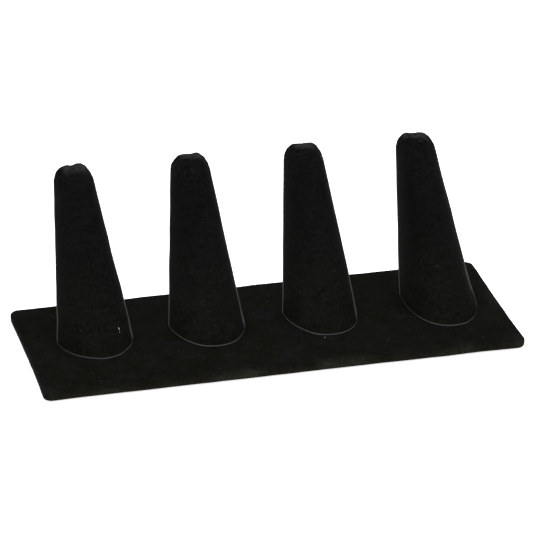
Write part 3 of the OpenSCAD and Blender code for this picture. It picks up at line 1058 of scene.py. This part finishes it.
@dataclass
class BaseCover:
    """The velvet round the board: flat top, rounded edges and a turned-in margin below.

    The cloth is uneven only where it is free of the fingers' feet, beyond the radii in foot_free.
    Each wave is a seed, a wavelength, a height and the share of z that counts. Each tuck at the
    corners is a height, a place and a width.
    """

    WAYS = np.array([(1, 0), (0, 1), (-1, 0), (0, -1)])
    TOP_WAVES = ((11, 26.0, 0.05, 1.0), (12, 9.0, 0.02, 1.0))
    EDGE_WAVES = ((13, 30.0, 0.09, 0.0), (14, 7.0, 0.035, 0.4))
    TUCKS = ((0.16, 1.6, 0.5), (-0.14, 2.5, 0.35))

    length: float = 204.6
    depth: float = 77.6
    corner_r: float = 3.5
    low_z: float = 0.2
    edge_r: float = 1.5
    velvet_t: float = 0.6
    turn_in: float = 12.0
    pile_stand: float = 0.15
    sunk: float = 0.05
    corner_bulk: float = 0.3
    corner_reach: float = 14.0
    edge_band: float = 6.0
    foot_free: Span = (15.5, 22.0)
    edge_wear: float = 0.07
    corner_wear: float = 0.22
    screw_hole_r: float = 1.6
    screw_back: float = 4.0
    long_points: int = 150
    short_points: int = 58
    corner_points: int = 12
    patches: tuple[WornPatch, ...] = ()
    # Fields of lighter or darker cloth, partly the nap's own tone and partly painted light and shade, and
    # painted shade on the left end.
    brushed: tuple[NapAndLightPlace, ...] = ()
    painted_left_shade: float = -0.25

    def _ring(self, inset: float, z: float) -> np.ndarray:
        """Points round the rectangle moved in by inset, at height z.

        Args:
            inset: How far the ring lies inside the base's outline.
            z: Height of the ring.

        Returns:
            Points counter-clockwise from the front left, shape (n, 3).
        """
        halves = np.array([self.length / 2 - inset, max(self.depth / 2 - inset, 0.0)])
        r = min(max(self.corner_r - inset, 0.3), halves[1])
        b = (np.arange(self.corner_points) / self.corner_points * math.pi / 2)[:, None]
        points = []
        for turn, count in enumerate((self.long_points, self.short_points) * 2):
            along, out = self.WAYS[turn], self.WAYS[turn - 1]
            share = (np.arange(count) / count)[:, None]
            points.append(along * (halves - r) * (2 * share - 1) + out * halves)
            points.append((along + out) * (halves - r) + r * (along * np.sin(b) + out * np.cos(b)))
        flat = np.concatenate(points)
        return np.concatenate([flat, np.full((len(flat), 1), z)], 1)

    def _outer_rings(self) -> np.ndarray:
        """Rings from the middle of the top, over the edge and in under the board."""
        e, top = self.edge_r, BASE_TOP_Z
        rings = [self._ring(float(i), top) for i in np.linspace(self.depth / 2, e + 0.6, 22)]
        rings += [self._ring(e * (1 - math.sin(a)), top - e * (1 - math.cos(a)))
                  for a in np.radians(np.linspace(0, 90, 10))]
        rings += [self._ring(0, float(z)) for z in np.linspace(top - e, self.low_z + e, 4)[1:-1]]
        rings += [self._ring(e * (1 - math.cos(a)), self.low_z + e * (1 - math.sin(a)))
                  for a in np.radians(np.linspace(0, 90, 8))]
        rings += [self._ring(float(i), self.low_z) for i in np.linspace(e + 0.9, self.turn_in, 9)]
        return np.array(rings)

    def _inner_rings(self) -> np.ndarray:
        """Rings from the margin's cut edge, round the board and over its top."""
        t, e = self.velvet_t, self.edge_r - self.velvet_t
        low, high = self.low_z + t, BASE_TOP_Z - t
        rings = [self._ring(self.turn_in, self.low_z + 0.5 * t)]
        rings += [self._ring(float(i), low) for i in np.linspace(self.turn_in, t + e, 4)]
        rings += [self._ring(t + e * (1 - math.sin(a)), low + e * (1 - math.cos(a)))
                  for a in np.radians((30, 60, 90))]
        rings += [self._ring(t + e * (1 - math.cos(a)), high - e * (1 - math.sin(a)))
                  for a in np.radians((0, 30, 60, 90))]
        rings += [self._ring(float(i), high) for i in np.linspace(t + e + 2, self.depth / 2, 7)]
        return np.array(rings)

    def _inwards(self, rings: np.ndarray) -> tuple[np.ndarray, np.ndarray]:
        """How far each point lies inside the base's ends and inside its front and back."""
        return self.length / 2 - np.abs(rings[..., 0]), self.depth / 2 - np.abs(rings[..., 1])

    def _wavy(self, rings: np.ndarray, waves: tuple) -> np.ndarray:
        """Sum of the given waves at each point."""
        return sum(SoftNoise(seed, size).at(rings * np.array([1, 1, part])) * height
                   for seed, size, height, part in waves)

    def _settled(self, rings: np.ndarray, fingers: list[VelvetSleeve]) -> np.ndarray:
        """The outer rings with the cloth's unevenness, kept flat where the fingers stand."""
        x, y, z = rings[..., 0], rings[..., 1], rings[..., 2]
        free = np.ones(x.shape)
        for finger in fingers:
            foot_x, foot_y = finger.foot()
            free *= eased(*self.foot_free, np.hypot(x - foot_x, y - foot_y))
        in_x, in_y = self._inwards(rings)
        near_edge = 1 - eased(0.0, self.edge_band, np.minimum(in_x, in_y))
        lifted = z > self.low_z + self.edge_r
        wide = self._wavy(rings, self.TOP_WAVES)
        out = rings.copy()
        out[..., 2] += np.where(lifted, (wide - self.sunk) * free * eased(3.9, BASE_TOP_Z, z), 0)
        bulk = self.corner_bulk * bell(np.hypot(in_x, in_y), self.corner_reach)
        standing = self._wavy(rings, self.EDGE_WAVES) + self.pile_stand + bulk
        out[..., 1] += np.sign(y) * (in_y < self.edge_band) * standing * near_edge
        out[..., 0] += np.sign(x) * (in_x < self.edge_band) * standing * near_edge
        return self._mitred(out, lifted)

    def _mitred(self, rings: np.ndarray, lifted: np.ndarray) -> np.ndarray:
        """Folds of the cloth at the corners: a tuck up the corner and a mitre below."""
        x, y, z = rings[..., 0], rings[..., 1], rings[..., 2]
        in_x, in_y = self._inwards(rings)
        diagonal = (in_x - in_y) / math.sqrt(2)
        near = 1 - eased(3.0, 7.0, np.hypot(np.maximum(in_x, 0), np.maximum(in_y, 0)))
        tuck = sum(height * bell(diagonal - at, width) for height, at, width in self.TUCKS)
        tuck = tuck * near * (z < 4.2)
        way = np.stack([np.sign(x), np.sign(y), np.zeros_like(x)], -1) / math.sqrt(2)
        out = rings + way * (tuck * lifted)[..., None]
        under = (~lifted) & (z < self.low_z + 0.3)
        seam = eased(-0.4, 0.4, diagonal) * (1 - eased(0.0, 5.0, np.abs(diagonal)))
        out[..., 2] += np.where(under, -0.12 * seam * eased(1.8, 3.0, np.minimum(in_x, in_y)), 0)
        return out

    def _drilled(self, piece: bpy.types.Object, fingers: list[VelvetSleeve]) -> None:
        """Cuts the screw holes under the fingers through the cover's top."""
        cutter_mesh = bpy.data.meshes.new("hole_cutter")
        shape = bmesh.new()
        for finger in fingers:
            foot_x, foot_y = finger.foot()
            turn = math.radians(finger.place.turned)
            middle = Vector((foot_x - self.screw_back * math.sin(turn),
                             foot_y + self.screw_back * math.cos(turn), BASE_TOP_Z))
            bmesh.ops.create_cone(shape, cap_ends=True, segments=32, radius1=self.screw_hole_r * MM,
                                  radius2=self.screw_hole_r * MM, depth=2 * MM,
                                  matrix=Matrix.Translation(middle * MM))
        shape.to_mesh(cutter_mesh)
        shape.free()
        cutter = bpy.data.objects.new("hole_cutter", cutter_mesh)
        bpy.context.scene.collection.objects.link(cutter)
        cut = piece.modifiers.new("screw_holes", "BOOLEAN")
        cut.operation, cut.solver, cut.object = "DIFFERENCE", "EXACT", cutter
        evaluated = piece.evaluated_get(bpy.context.evaluated_depsgraph_get())
        drilled = bpy.data.meshes.new_from_object(evaluated)
        piece.modifiers.clear()
        piece.data = drilled
        bpy.data.objects.remove(cutter)

    def _wear(self, outer: np.ndarray) -> np.ndarray:
        """How rubbed each point of the outer rings is, along the edges and in the patches."""
        x, y, z = outer[..., 0], outer[..., 1], outer[..., 2]
        in_x, in_y = self._inwards(outer)
        edge = (1 - eased(0.0, 2.4, np.minimum(in_x, in_y))) * eased(2.6, 4.4, z)
        corner = bell(np.hypot(in_x, in_y), 4.5) * eased(1.0, 4.0, z)
        wear = self.edge_wear * edge + self.corner_wear * corner
        for p in self.patches:
            gap = ((x - p.x) / p.half_x) ** 2 + ((y - p.y) / p.half_y) ** 2 + ((z - p.z) / p.half_z) ** 2
            wear = wear + p.strength * np.exp(-gap)
        return np.clip(wear, 0, 1)

    def _shade(self, outer: np.ndarray) -> np.ndarray:
        """How light each point of the outer rings is: painted shade on the left end, and the given fields,
        partly the nap's own tone and partly painted light and shade.
        """
        x, y = outer[..., 0], outer[..., 1]
        shade = 1 + self.painted_left_shade * (1 - eased(0.2, 2.5, self.length / 2 + x))
        for b in self.brushed:
            shade = shade + b.tone * bell(x - b.x, b.half_x) * bell(y - b.y, b.half_y)
        return shade

    def build(self, fingers: list[VelvetSleeve]) -> bpy.types.Object:
        """Builds the cover as one closed mesh with its wear and shade values.

        Args:
            fingers: The fingers that stand on it.

        Returns:
            The new piece, in the part's frame.
        """
        outer = self._settled(self._outer_rings(), fingers)
        rings = np.concatenate([outer, self._inner_rings()])
        faces = [quad[::-1] for quad in ring_quads(*rings.shape[:2])]
        piece = mesh_object("base_cover", rings.reshape(-1, 3), faces)
        put_values(piece, "wear", self._wear(outer))
        put_values(piece, "shade", self._shade(outer), rest=1.0)
        joined = bmesh.new()
        joined.from_mesh(piece.data)
        bmesh.ops.remove_doubles(joined, verts=joined.verts, dist=1e-6)
        bmesh.ops.recalc_face_normals(joined, faces=joined.faces)
        joined.to_mesh(piece.data)
        joined.free()
        self._drilled(piece, fingers)
        return piece


# ---------------------------------------------------------------- lint


class LintKind(Enum):
    """Shapes that lint takes on the velvet."""

    FLECK = "fleck"
    FIBRE = "fibre"
    SPECK = "speck"


@dataclass(frozen=True)
class LintSpot:
    """One piece of lint: where it lies, its shape, size, direction and shade."""

    x: float
    y: float
    z: float
    kind: LintKind
    length: float
    turn: float
    shade: float


@dataclass
class Lint:
    """All the lint on the stand: the pieces that stand out, and a fine scatter.

    Each spot is looked for from a point clear of the velvet, which lies along the finger's
    own slopes up to slopes_end and straight away from its middle above that.
    """

    spots: tuple[LintSpot, ...]
    seed: int = 5
    on_base: int = 90
    on_finger: int = 6
    clear: float = 2.0
    side_slope: float = 0.125
    front_slope: float = 0.61
    slopes_end: float = 62.0
    curl: float = 0.3
    base_reach: Span = (100.0, 37.0)
    finger_reach: Span = (20.0, 22.0)
    finger_levels: Span = (6.0, 40.0)
    speck_share: float = 0.45
    fine_length: Span = (0.15, 0.7)
    fine_shade: Span = (0.03, 0.11)
    sides: int = 5
    steps: int = 6
    thickness: dict = field(default_factory=lambda: {
        LintKind.FLECK: 0.20, LintKind.FIBRE: 0.07, LintKind.SPECK: 0.09,
    })

    def _tube(self, start: Vector, normal: Vector, spot: LintSpot, curl: float) -> np.ndarray:
        """Curved tapering tube that lies on the surface.

        Args:
            start: Point on the surface in millimetres.
            normal: The surface's normal there.
            spot: The piece of lint.
            curl: How far it bends sideways, as a share of its length.

        Returns:
            The tube's points in millimetres, ring after ring.
        """
        up = Vector((0, 0, 1)) if abs(normal.z) < 0.9 else Vector((0, 1, 0))
        across = up.cross(normal).normalized()
        ahead = normal.cross(across)
        way = across * math.cos(spot.turn) + ahead * math.sin(spot.turn)
        side = normal.cross(way)
        radius = self.thickness[spot.kind] / 2
        points = []
        for t in (j / self.steps for j in range(self.steps + 1)):
            swell = math.sin(math.pi * (0.12 + 0.76 * t)) ** 0.5
            bow = curl * (4 * t * (1 - t) - 0.5)
            centre = start + way * spot.length * (t - 0.5) + side * spot.length * bow + normal * radius * 0.8
            for a in (2 * math.pi * k / self.sides for k in range(self.sides)):
                points.append(tuple(centre + (side * math.cos(a) + normal * math.sin(a)) * radius * swell))
        return np.array(points)

    def _tube_faces(self) -> list:
        """Faces of one tube, with a cap at each end."""
        quads = [[quad[0], *quad[:0:-1]] for quad in ring_quads(self.steps + 1, self.sides)]
        last = self.steps * self.sides
        return [*quads, list(reversed(range(self.sides))), [last + k for k in range(self.sides)]]

    def _outside(self, spot: LintSpot, fingers: list[VelvetSleeve]) -> Vector:
        """Point well outside the velvet from which a spot's place is the nearest."""
        point = Vector((spot.x, spot.y, spot.z))
        if spot.z < BASE_TOP_Z + 0.5:
            return point + Vector((0, 0, self.clear))
        foot_x, foot_y = min((finger.foot() for finger in fingers), key=lambda foot: abs(foot[0] - spot.x))
        share = (spot.z - BASE_TOP_Z) / FingerSizes.height
        middle = Vector((foot_x, foot_y + share * FingerSizes.back_lean, min(spot.z, self.slopes_end)))
        away = (point - middle).normalized()
        if spot.z < self.slopes_end:
            away.z = self.side_slope * abs(away.x) + self.front_slope * max(-away.y, 0.0)
        return point + away.normalized() * self.clear

    def _scattered(self, fingers: list[VelvetSleeve]) -> list[LintSpot]:
        """Draws the fine scatter over the base and the fronts of the fingers."""
        rng = np.random.default_rng(self.seed)
        far_x, far_y = self.base_reach
        spots = [(rng.uniform(-far_x, far_x), rng.uniform(-far_y, far_y), BASE_TOP_Z)
                 for _ in range(self.on_base)]
        wide, deep = self.finger_reach
        for foot_x, foot_y in (finger.foot() for finger in fingers):
            for _ in range(self.on_finger):
                a = rng.uniform(math.pi, 2 * math.pi)
                spots.append((foot_x + wide * math.cos(a), foot_y + deep * math.sin(a),
                              rng.uniform(*self.finger_levels)))
        kinds = (LintKind.FIBRE, LintKind.SPECK)
        return [LintSpot(*place, kinds[int(rng.uniform() < self.speck_share)],
                         rng.uniform(*self.fine_length), rng.uniform(0, math.pi),
                         rng.uniform(*self.fine_shade)) for place in spots]

    def build(self, carriers: list[bpy.types.Object], fingers: list[VelvetSleeve]) -> bpy.types.Object:
        """Builds the lint as one piece lying on the velvet.

        Args:
            carriers: The velvet pieces that it lies on.
            fingers: The fingers, for the scatter.

        Returns:
            The new piece.
        """
        graph = bpy.context.evaluated_depsgraph_get()
        trees = [BVHTree.FromObject(carrier, graph) for carrier in carriers]
        rng = np.random.default_rng(self.seed + 1)
        tubes, faces, shades, used = [], [], [], 0
        for spot in [*self.spots, *self._scattered(fingers)]:
            near = [tree.find_nearest(self._outside(spot, fingers) * MM) for tree in trees]
            place, normal, _, _ = min(near, key=lambda hit: hit[3])
            tubes.append(self._tube(place / MM, normal, spot, rng.uniform(-self.curl, self.curl)))
            faces += [[used + k for k in face] for face in self._tube_faces()]
            shades += [spot.shade] * len(tubes[-1])
            used += len(tubes[-1])
        piece = mesh_object("velvet_lint", np.concatenate(tubes), faces)
        put_values(piece, "shade", np.array(shades))
        return piece


# ---------------------------------------------------------------- studio


@dataclass(frozen=True)
class SoftBox:
    """A soft area light: where it hangs in metres, its size and its power."""

    name: str
    place: Point
    size: float
    power: float


@dataclass
class Studio:
    """Plain white floor, soft light all round and the photograph's camera."""

    azimuth: float = 14.417
    elevation: float = 25.819
    roll: float = 0.298
    origin_in_view: Point = (-0.289, -28.511, 1537.7)
    focal_px: float = 3639.3
    image_px: int = 533
    sensor: float = 36.0
    floor_half: float = 12.0
    sky: float = 0.95
    boxes: tuple[SoftBox, ...] = (
        SoftBox("top_box", (0.05, 0.25, 1.08), 0.9, 9.0),
        SoftBox("right_box", (1.0, -0.1, 0.55), 0.6, 0.6),
        SoftBox("front_box", (-0.6, -1.25, 0.45), 0.9, 5.0),
    )

    def floor(self) -> None:
        """Lays the floor under the base."""
        half = self.floor_half / MM
        corners = np.array([(-half, -half, 0), (half, -half, 0), (half, half, 0), (-half, half, 0)], float)
        ground = mesh_object("studio_floor", corners, [[0, 1, 2, 3]])
        ground.data.materials.append(FloorFinish().make())

    def light(self) -> None:
        """Hangs the soft boxes and sets the even light of the room."""
        world = bpy.data.worlds.new("soft_room")
        world.use_nodes = True
        background = world.node_tree.nodes["Background"]
        background.inputs[0].default_value = rgba((1.0, 1.0, 1.0))
        background.inputs[1].default_value = self.sky
        bpy.context.scene.world = world
        for box in self.boxes:
            lamp = bpy.data.lights.new(box.name, "AREA")
            lamp.shape, lamp.size, lamp.energy = "DISK", box.size, box.power
            holder = bpy.data.objects.new(box.name, lamp)
            holder.location = box.place
            holder.rotation_euler = (-Vector(box.place)).to_track_quat("-Z", "Y").to_euler()
            bpy.context.scene.collection.objects.link(holder)

    def camera(self) -> None:
        """Sets the camera where the photograph was taken from."""
        az, el, roll = (math.radians(v) for v in (self.azimuth, self.elevation, self.roll))
        ahead = Vector((math.sin(az) * math.cos(el), math.cos(az) * math.cos(el), -math.sin(el)))
        right = Vector((math.cos(az), -math.sin(az), 0))
        up = right.cross(ahead)
        right, up = right * math.cos(roll) + up * math.sin(roll), up * math.cos(roll) - right * math.sin(roll)
        x, y, z = (v * MM for v in self.origin_in_view)
        lens = bpy.data.cameras.new("photo_camera")
        lens.sensor_width = self.sensor
        lens.lens = self.focal_px * self.sensor / self.image_px
        lens.clip_start, lens.clip_end = 0.05, 50.0
        camera = bpy.data.objects.new("photo_camera", lens)
        turn = Matrix((right, up, -ahead)).transposed().to_4x4()
        camera.matrix_world = Matrix.Translation(-(right * x + up * y + ahead * z)) @ turn
        bpy.context.scene.collection.objects.link(camera)
        bpy.context.scene.camera = camera

    def tones(self) -> None:
        """Shows the light as it is, without a film look."""
        bpy.context.scene.view_settings.view_transform = "Standard"
        bpy.context.scene.view_settings.look = "None"


# ---------------------------------------------------------------- the stand


@dataclass
class HiddenParts:
    """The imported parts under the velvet, which keep their shapes and get real finishes."""

    nodes: dict[str, bpy.types.Object]

    def dress(self, effects: Effects) -> None:
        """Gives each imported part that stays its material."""
        plan = (
            ("base_board", HardboardFinish().make(effects), "hardboard"),
            ("base_lining", LiningFinish().make(effects), "lining_paper"),
            ("finger_core", MouldedFinish().make(effects), "core_plastic"),
            ("finger_screws", ZincFinish().make(effects), "screw_steel"),
        )
        for start, material, slot in plan:
            for name in sorted(n for n in self.nodes if n.startswith(start)):
                for socket in self.nodes[name].material_slots:
                    socket.material = material
                LOG.info("packed part %s gets %s", name, material.name)


FINGERS = (
    FingerPlace(
        1, 1.3, 1.5, 4.5, 0.4, 1.2, 0.2, -5.0, 0.0, 0.0, 0.0, 0.2, -0.4, TipWear(1.12, 1.60, 0.96, 0.30),
        hem=(0.6, 0.15, 0.1, 0.8, 1.1, 0.55, 0.7, 0.75, 0.4),
        flare=(-0.08, 0.27), nap=(-0.2, 0.1), low=(-0.05, -0.04), middle_light=0.0,
        folds=(
            TipFold(-3.6, -2.6, -1.6, 2.0, 0.22, 0.9), TipFold(-0.8, -1.5, -0.6, 2.5, -0.30, 0.6),
            TipFold(2.0, -2.8, 2.8, 2.2, 0.60, 1.3), TipFold(3.4, -1.0, 5.6, -3.4, 0.22, 0.5),
        ),
        marks=(pit(-80.3, 32.3, 69.1, 0.8), pit(-80.9, 34.0, 69.0), pit(-76.8, 27.1, 69.4)),
    ),
    FingerPlace(
        2, -0.2, 0.1, 4.5, 1.7, -1.2, 0.3, -1.3, 0.0, 0.0, 0.6, 0.2, 0.1,
        TipWear(0.80, 1.45, 1.0, lift=0.36, skew=-0.12),
        hem=(0.8, 0.4, 0.3, 0.55, 0.6, 1.05, 0.6, 0.3, 0.25),
        flare=(-0.10, 0.05), nap=(0.0, 0.12), low=(0.26, 0.02), middle_light=0.12,
        folds=(
            TipFold(-4.2, -1.6, -0.8, -2.6, 0.34, 0.55), TipFold(-3.8, 1.0, -0.6, 0.2, 0.24, 0.6),
            TipFold(1.2, 0.8, 3.8, -2.2, 0.34, 0.6), TipFold(-0.2, -2.6, 0.4, 1.2, -0.35, 0.6),
        ),
        marks=(
            pit(-20.8, 26.0, 68.8), pit(-21.2, 27.3, 69.6, 0.4), pit(-28.3, 25.8, 68.4),
            pit(-27.2, 24.4, 68.1, 0.5), pit(-28.2, 23.1, 66.4),
            Mark((-27.2, 24.9, 68.6), (-26.1, 23.8, 68.3), 0.45, 0.2, 0.7),
            Mark((-26.1, 23.8, 68.3), (-25.7, 22.6, 67.3), 0.5, 0.25, 1.1),
            Mark((-27.6, 23.9, 67.5), (-29.0, 24.0, 66.2), 0.5, 0.2, 1.2),
        ),
    ),
    FingerPlace(
        3, -1.1, 0.8, 1.0, -0.3, -0.3, 0.1, -0.4, 0.0, 0.0, -0.9, 0.2, -0.3,
        TipWear(0.86, 1.35, 1.0, 0.2, skew=-0.14),
        hem=(0.1, -0.1, 0.6, 0.75, 0.65, 0.95, 0.5, 0.4, 0.3),
        flare=(-0.20, -0.10), nap=(0.0, 0.18), low=(0.26, -0.05), middle_light=0.12,
        folds=(TipFold(-3.0, -2.2, 3.6, -2.0, 0.10, 0.9), TipFold(0.6, -1.6, 1.6, 1.6, 0.20, 0.8)),
        marks=(pit(20.8, 28.4, 69.6), pit(19.5, 31.4, 69.6, 0.7, -0.5)),
    ),
    FingerPlace(
        4, 0.9, 0.2, -2.0, -5.0, -1.1, -0.3, 7.9, -1.2, 0.5, -0.7, 0.2, -0.8,
        TipWear(0.90, 1.75, 1.0, 0.14, 0.28, -0.15),
        hem=(0.85, 0.85, 0.65, 0.65, 1.1, 0.35, 0.4, 0.45, 0.5),
        flare=(0.08, -0.04), nap=(-0.1, -0.4), low=(0.14, -0.20), middle_light=-0.02,
        folds=(
            TipFold(-4.6, -2.2, -4.2, 1.0, 0.26, 0.6), TipFold(-2.9, -3.4, -2.7, 1.0, -0.40, 0.6),
            TipFold(-1.6, -2.4, 1.2, -1.0, 0.30, 0.7), TipFold(2.2, -2.4, 3.0, 1.2, 0.24, 0.7),
        ),
        marks=(
            pit(68.8, 28.6, 68.7), pit(67.7, 30.4, 68.3), pit(73.7, 25.6, 69.1, 0.5),
            pit(75.9, 26.0, 68.8, 0.5),
        ),
    ),
)

EDGE_PATCHES = tuple(WornPatch(*row) for row in (
    (-78.0, -38.9, 1.8, 9.0, 3.0, 2.0, 0.34),
    (-27.5, -38.9, 2.2, 5.0, 3.0, 2.0, 0.60),
    (-16.5, -38.9, 2.5, 5.5, 2.8, 2.0, 0.75),
    (-48.0, -38.9, 1.6, 8.0, 2.0, 1.6, 0.12),
    (17.0, -38.9, 2.8, 5.0, 3.2, 2.0, 0.60),
    (29.0, -38.9, 2.7, 7.0, 3.0, 2.0, 0.56),
    (68.0, -38.9, 2.0, 4.5, 3.0, 2.0, 0.38),
    (77.5, -38.9, 2.4, 5.0, 3.0, 2.0, 0.42),
    (94.0, -38.9, 2.0, 3.0, 3.0, 2.0, 0.16),
    (100.5, -37.8, 2.6, 3.5, 3.0, 2.0, 0.40),
    (101.5, 1.0, 4.4, 3.0, 9.0, 2.0, 0.40),
))

# Fields of the base made lighter or darker: partly the nap's own tone, partly painted light and shade.
NAP_AND_LIGHT = tuple(NapAndLightPlace(*row) for row in (
    (-93.0, 20.0, 12.0, 20.0, -0.22), (-98.0, -18.0, 9.0, 16.0, 0.10), (-45.0, 30.0, 9.0, 9.0, -0.09),
    (-66.0, -22.0, 12.0, 7.0, 0.16), (-24.0, -21.0, 16.0, 9.0, 0.22), (-3.0, 18.0, 6.0, 20.0, 0.12),
    (12.0, 20.0, 5.0, 10.0, -0.10), (33.0, -21.0, 12.0, 8.0, 0.17), (-2.0, -27.0, 10.0, 7.0, 0.12),
    (45.0, 12.0, 6.0, 16.0, 0.13), (58.0, 22.0, 7.0, 11.0, -0.29), (59.0, -3.0, 6.0, 7.0, 0.26),
    (9.0, 36.0, 6.0, 5.0, 0.14), (86.0, -29.0, 16.0, 8.0, -0.22), (95.0, -6.0, 7.0, 9.0, 0.12),
))

LINT = tuple(LintSpot(*row) for row in (
    (-65.3, -6.4, 13.3, LintKind.FLECK, 1.15, 1.4, 0.8),
    (-65.3, -6.9, 11.8, LintKind.FLECK, 0.7, 1.1, 0.25),
    (-65.1, -5.2, 16.0, LintKind.FIBRE, 1.4, 1.2, 0.05),
    (21.0, -17.9, 4.6, LintKind.FLECK, 0.5, 1.2, 1.0),
    (74.8, 25.7, 69.1, LintKind.FLECK, 0.45, 0.9, 0.2),
    (-28.0, -4.3, 20.7, LintKind.FIBRE, 1.6, 0.8, 0.09),
    (-23.0, -3.3, 24.3, LintKind.FIBRE, 0.8, 0.2, 0.09),
    (-14.2, 8.2, 30.8, LintKind.FIBRE, 0.6, 1.9, 0.35),
    (23.7, -8.3, 17.0, LintKind.SPECK, 0.35, 0.5, 0.12),
    (22.9, -7.9, 17.3, LintKind.FIBRE, 0.6, 1.2, 0.10),
    (29.4, -1.2, 27.0, LintKind.FIBRE, 0.8, 0.5, 0.08),
    (14.9, -0.4, 18.5, LintKind.FIBRE, 0.7, 1.4, 0.08),
    (67.7, -0.6, 26.1, LintKind.SPECK, 0.5, 0.3, 0.10),
    (73.4, -5.3, 25.7, LintKind.FIBRE, 2.2, 0.15, 0.10),
    (45.7, -26.7, 4.6, LintKind.SPECK, 0.5, 1.2, 0.3),
    (46.4, -25.6, 4.6, LintKind.SPECK, 0.4, 0.2, 0.2),
    (6.0, 20.8, 4.6, LintKind.FIBRE, 0.7, 0.1, 0.2),
    (-28.1, -34.8, 4.6, LintKind.FIBRE, 0.5, 1.3, 0.3),
    (-80.1, -25.8, 4.6, LintKind.SPECK, 0.4, 0.9, 0.3),
    (49.3, -3.6, 4.6, LintKind.SPECK, 0.4, 0.9, 0.2),
    (-10.0, -13.1, 4.6, LintKind.SPECK, 0.35, 0.5, 0.2),
    (98.3, -2.8, 4.6, LintKind.FLECK, 1.0, 0.9, 0.05),
    (44.8, -28.4, 4.6, LintKind.FLECK, 0.9, 1.3, 0.035),
    (-27.6, -4.9, 19.3, LintKind.FLECK, 0.6, 0.4, 0.02),
    (-23.4, -24.0, 4.6, LintKind.FLECK, 0.7, 0.2, 0.025),
    (-13.6, -31.0, 4.6, LintKind.FLECK, 0.6, 1.0, 0.025),
    (-25.5, -11.7, 9.5, LintKind.FLECK, 0.6, 0.7, 0.02),
    (-25.8, -4.0, 22.6, LintKind.FLECK, 0.6, 1.1, 0.02),
    (28.8, -1.7, 26.8, LintKind.FLECK, 0.7, 0.6, 0.025),
    (-10.6, -12.0, 4.6, LintKind.FLECK, 0.6, 0.3, 0.02),
))


def main() -> None:
    """Builds the stand's visible pieces in order, dresses them and sets the studio."""
    logging.basicConfig(level=logging.INFO, format="%(name)s: %(message)s")
    studio = Studio()
    studio.camera()
    studio.light()
    studio.tones()
    studio.floor()
    effects = Effects()
    finger_velvet = VelvetFinish("finger_velvet").make(effects)
    base_velvet = VelvetFinish(
        "base_velvet", cool=(0.00322, 0.00332, 0.0032), warm=(0.00322, 0.00332, 0.00208),
        warm_below=-8.0, cool_above=22.0, rubbed=(0.022, 0.022, 0.0178), lined=False,
        floor_bounce_front=True, patch=1.3, even=0.0, contrast=1.7, dust_amount=0.3,
    ).make(effects)
    fingers = [VelvetSleeve(place) for place in FINGERS]
    carriers = []
    for finger in fingers:
        sleeve = finger.build()
        sleeve.data.materials.append(finger_velvet)
        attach(sleeve, "root")
        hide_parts(f"finger_velvet_{finger.place.number}")
        carriers.append(sleeve)
        LOG.info("%s has %d faces", sleeve.name, len(sleeve.data.polygons))
    cover = BaseCover(patches=EDGE_PATCHES, brushed=NAP_AND_LIGHT).build(fingers)
    cover.data.materials.clear()
    cover.data.materials.append(base_velvet)
    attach(cover, "root")
    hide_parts("base_velvet")
    carriers.append(cover)
    LOG.info("%s has %d faces", cover.name, len(cover.data.polygons))
    lint = Lint(LINT).build(carriers, fingers)
    lint.data.materials.append(LintFinish().make(effects))
    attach(lint, "root")
    LOG.info("%s has %d faces", lint.name, len(lint.data.polygons))
    HiddenParts(frame["nodes"]).dress(effects)


if __name__ == "__main__":
    main()
